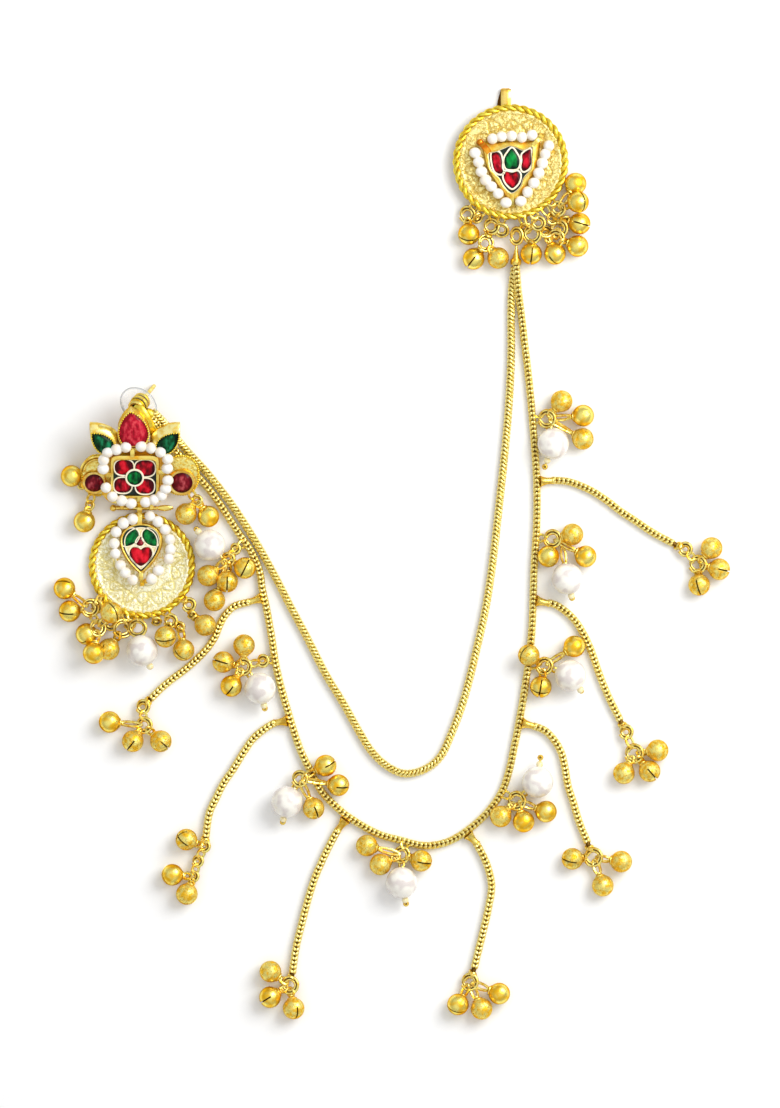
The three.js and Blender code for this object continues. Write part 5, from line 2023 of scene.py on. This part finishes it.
    def pin(self, gold: Piece) -> None:
        """The pin of the drop with its knob and its flattened end, two lugs, and the post."""
        knob = ball(0.85, 14, 10).at(-5.6, 0, 0)
        bar = rod((-5.6, 0, 0), (5.4, 0, 0), [0.48, 0.5, 0.5, 0.5], 12)
        leaf = ball(1.0, 16, 10).copies((np.eye(3) * [2.2, 0.8, 0.5])[None], np.array([[7.3, 0.05, 0.1]]))
        lugs = [ribbon([(x, 2.2, 0.0), (x, 0.9, 0.5), (x, 0.0, 0.72)], 1.0, 0.4) for x in (-3.4, 4.0)]
        post = rod((-0.9, 25.6, 0.2), (4.7, 28.0, -12.44), [0.46] * 14 + [0.42], 14)
        gold.add(WIRE_GOLD, *(self.at(shape) for shape in (knob, bar, leaf, *lugs)))
        gold.add(CHAIN_GOLD, self.at(post))

    def inlay(self) -> None:
        """Four red petals about a green middle on dark enamel."""
        inlay = Inlay("square_inlay", self.ground, self.origin, self.turn)
        x, y = self.box
        inlay.base(DARK_GROUND, placed(rounded_square(10.8, 9.6, 96, 9), x, y - 0.15))
        for finish, u, v, wide, tall in (
            (RUBY, -2.9, 11.9, 4.7, 4.1), (DEEP_RUBY, 2.35, 11.65, 5.0, 4.4),
            (DEEP_RUBY, -3.2, 7.1, 4.4, 4.1), (RUBY, 2.35, 6.85, 4.6, 4.1),
        ):
            inlay.stone(finish, placed(rounded_square(wide, tall, 64, 2.5), u, v), 0.25, 0.34)
        middle = placed(circle(48, 1.95), -0.25, 9.2)
        inlay.put(DARK_GROUND, cushion(inset(middle, -0.3), self.ground - 0.5, self.ground + 0.28, 0.05))
        inlay.put(CREAM, bead_line(inset(middle, -0.18), 0.5, self.ground + 0.2, 0.34))
        inlay.put(EMERALD, cushion(middle, self.ground, self.ground + 0.36, 0.3, 2.4))
        inlay.make(EARRING)

    def stones(self) -> None:
        """The red and green petal stones and the two maroon ones."""
        name = "red_petal_stone"
        red = cushion(self.red_petal(), 1.6, 2.75, 1.0, 2.6, 9)
        Piece(name).add(TEAR_RUBY, self.at(red, 1)).make(EARRING, "ruby_stone", name)
        for side, word in ((-1, "left"), (1, "right")):
            name = f"green_petal_stone_{word}"
            green = cushion(self.green_petal(side), 1.3, 2.45, 0.85, 2.6, 9)
            Piece(name).add(DEEP_EMERALD, self.at(green, 4 + side)).make(EARRING, "emerald_stone", name)
        for (x, y), radius, word in (((-10.35, 7.0), 2.45, "left"), ((11.55, 7.05), 2.68, "right")):
            name = f"maroon_stone_{word}"
            wine = cushion(placed(circle(48, radius), x, y), 0.0, 0.7, 0.9, 2.0, 9)
            Piece(name).add(WINE, self.at(wine, int(radius * 10))).make(EARRING, "maroon_stone", name)

    def pearls(self) -> None:
        """The ring of seed pearls round the box."""
        places = [self.local(x, y, self.seed_height) for x, y in TOP_SEEDS]
        seeds = SeedString([places], self.seed_height, seed=21)
        loop = np.array([[x, y, self.seed_height] for x, y in places])
        wire = swept(smooth(loop, 6, closed=True), circle(6, seeds.wire), closed=True)
        piece = Piece("ear_seed_pearls").add(SEED, self.at(seeds.pearls())).add(WIRE_GOLD, self.at(wire))
        piece.make(EARRING, "seed_pearl", "ear_seed_pearls")


@dataclass(frozen=True)
class PostFittings:
    """The clutch on the post, and the loop that both chains end in.

    Its own frame has its origin at the foot of the post and its third axis along the post.
    """

    foot: Spot = (-65.0, 35.328, 11.261)
    tip: Spot = (-59.6, 41.883, 0.602)

    def at(self, shape: Shape) -> Shape:
        """A shape moved from the post's frame to its place."""
        return shape.moved(facing(np.subtract(self.tip, self.foot), UP), self.foot)

    @staticmethod
    def sleeve(profile: Rows, around: int, shade: Row) -> Shape:
        """A bored round piece: a closed profile turned about the post.

        Args:
            profile: Rows of radius and distance along the post.
            around: Places round each ring.
            shade: Painted shade of each row.

        Returns:
            The shape.
        """
        rings = [circle(around, radius) for radius, _ in profile]
        bored = lofted(rings, [distance for _, distance in profile])
        return replace(bored, shade=np.repeat(np.asarray(shade, float), around))

    def build(self) -> None:
        """Makes the clutch disc, the clutch barrel and the chain loop."""
        # the clear disc's edge rows are painted grey, for the dark edge that refraction gives
        disc = self.sleeve(
            [[2.2, 3.7], [2.5, 3.65], [4.5, 3.65], [4.85, 3.75], [5.0, 4.0], [5.0, 4.2], [4.85, 4.45],
             [4.5, 4.55], [2.5, 4.55], [2.2, 4.5]],
            64, [0, 0, 0, 0.6, 1, 1, 0.6, 0, 0, 0],
        )
        Piece("clutch_disc").add(CLEAR, self.at(disc)).make(EARRING, "clear_plastic", "clutch_disc")
        # the barrel's grooves get painted shade
        barrel = self.sleeve(
            [[0.8, 3.1], [1.7, 3.1], [2.1, 3.25], [2.1, 3.45], [1.6, 3.55], [1.5, 3.8], [1.7, 3.95],
             [2.2, 4.05], [2.3, 4.2], [2.3, 4.8], [2.15, 4.95], [1.4, 5.0], [1.3, 5.35], [1.4, 5.6],
             [2.05, 5.65], [2.2, 5.8], [2.2, 6.3], [1.9, 6.75], [1.2, 6.9], [0.8, 6.85]],
            36, [0.9, 0.1, 0, 0.2, 1, 1, 1, 0.3, 0, 0, 0.3, 1, 1, 1, 0.3, 0, 0, 0, 0, 0.5],
        )
        Piece("clutch_barrel").add(ROPE_GOLD, self.at(barrel)).make(EARRING, "gold_polished", "clutch_barrel")
        angles = np.linspace(0, 2 * math.pi, 32, endpoint=False)
        ring = np.stack([1.55 * np.cos(angles), 1.55 * np.sin(angles), np.full(32, 2.6)], -1)
        loop = self.at(swept(ring, circle(10, 0.6), closed=True))
        strap = ribbon([
            (-64.0, 37.2, 9.9), (-63.1, 36.3, 10.6), (-62.1, 34.9, 10.7), (-61.2, 33.4, 10.2),
            (-60.4, 31.7, 9.3), (-59.8, 30.0, 8.2),
        ], 2.4, 0.7, 12)
        cap = rod((-61.4, 36.1, 9.9), (-60.1, 34.5, 9.1), [0.6, 1.1, 1.3, 1.2], 18)
        piece = Piece("chain_loop").add(WIRE_GOLD, loop).add(ROPE_GOLD, strap, cap)
        piece.make(EARRING, "gold_polished", "chain_loop")


# ---- studio ----
@dataclass(frozen=True)
class Studio:
    """A white table under a soft lamp and sky, seen from straight above.

    The lamp's place and side are in metres, and its power is in watts.
    """

    middle: Pair = (-0.5, 0.0)
    view_tall: float = 277.0
    height: float = 700.0
    sky: float = 0.88
    horizon: float = 0.32
    lamp_place: Spot = (0.40, 0.26, 0.46)
    lamp_side: float = 0.48
    lamp_power: float = 3.9

    def camera(self) -> None:
        """A camera that looks straight down and keeps lengths true."""
        data = bpy.data.cameras.new("camera")
        data.type = "ORTHO"
        data.ortho_scale = self.view_tall * MM
        data.clip_start = 0.01
        data.clip_end = 10.0
        camera = bpy.data.objects.new("camera", data)
        camera.location = (self.middle[0] * MM, self.middle[1] * MM, self.height * MM)
        bpy.context.scene.collection.objects.link(camera)
        bpy.context.scene.camera = camera

    def build(self) -> None:
        """Adds the table, the lamp and the sky."""
        self.table()
        self.lamp()
        self.dome()
        bpy.context.scene.view_settings.view_transform = "Standard"

    def table(self) -> None:
        """A wide matt white table with its face at z = 0."""
        half = 2.5
        corners = [(-half, -half, 0), (half, -half, 0), (half, half, 0), (-half, half, 0)]
        mesh = bpy.data.meshes.new("table")
        mesh.from_pydata(corners, [], [(0, 1, 2, 3)])
        bench = Bench("white_table")
        place = bench.node("ShaderNodeTexCoord").outputs["Object"]
        grain = bench.wire("ShaderNodeTexNoise", None, {"Vector": place, "Scale": 900.0, "Detail": 2.0})
        white = bench.mix(grain, (0.93, 0.93, 0.93), (0.95, 0.95, 0.95))
        paper = bench.surface({"Base Color": white, "Roughness": 0.9, "Specular IOR Level": 0.1})
        mesh.materials.append(paper)
        table = bpy.data.objects.new("table", mesh)
        bpy.context.scene.collection.objects.link(table)

    def lamp(self) -> None:
        """A square soft light aimed at the middle of the piece."""
        data = bpy.data.lights.new("key_light", "AREA")
        data.shape = "SQUARE"
        data.size = self.lamp_side
        data.energy = self.lamp_power
        lamp = bpy.data.objects.new("key_light", data)
        lamp.location = self.lamp_place
        lamp.rotation_euler = (-Vector(self.lamp_place)).to_track_quat("-Z", "Y").to_euler()
        bpy.context.scene.collection.objects.link(lamp)

    def dome(self) -> None:
        """A sky that is brighter overhead than at its horizon."""
        world = bpy.data.worlds.new("studio")
        world.use_nodes = True
        tree = world.node_tree
        place = tree.nodes.new("ShaderNodeTexCoord")
        split = tree.nodes.new("ShaderNodeSeparateXYZ")
        ramp = tree.nodes.new("ShaderNodeValToRGB")
        Bench.set_stops(ramp.color_ramp, [(0.0, (self.horizon,) * 3), (0.9, (self.sky,) * 3)])
        tree.links.new(place.outputs["Generated"], split.inputs[0])
        tree.links.new(split.outputs["Z"], ramp.inputs[0])
        tree.links.new(ramp.outputs[0], tree.nodes["Background"].inputs["Color"])
        bpy.context.scene.world = world


def main() -> None:
    """Builds the studio and every sub-assembly."""
    logging.basicConfig(level=logging.INFO, format="%(name)s: %(message)s")
    studio = Studio()
    studio.camera()
    ChainWork().build()
    build_bunches()
    HairOrnament().build()
    EarTop().build()
    PostFittings().build()
    EarDrop().build()
    studio.build()
    bpy.context.view_layer.update()


if __name__ == "__main__":
    main()
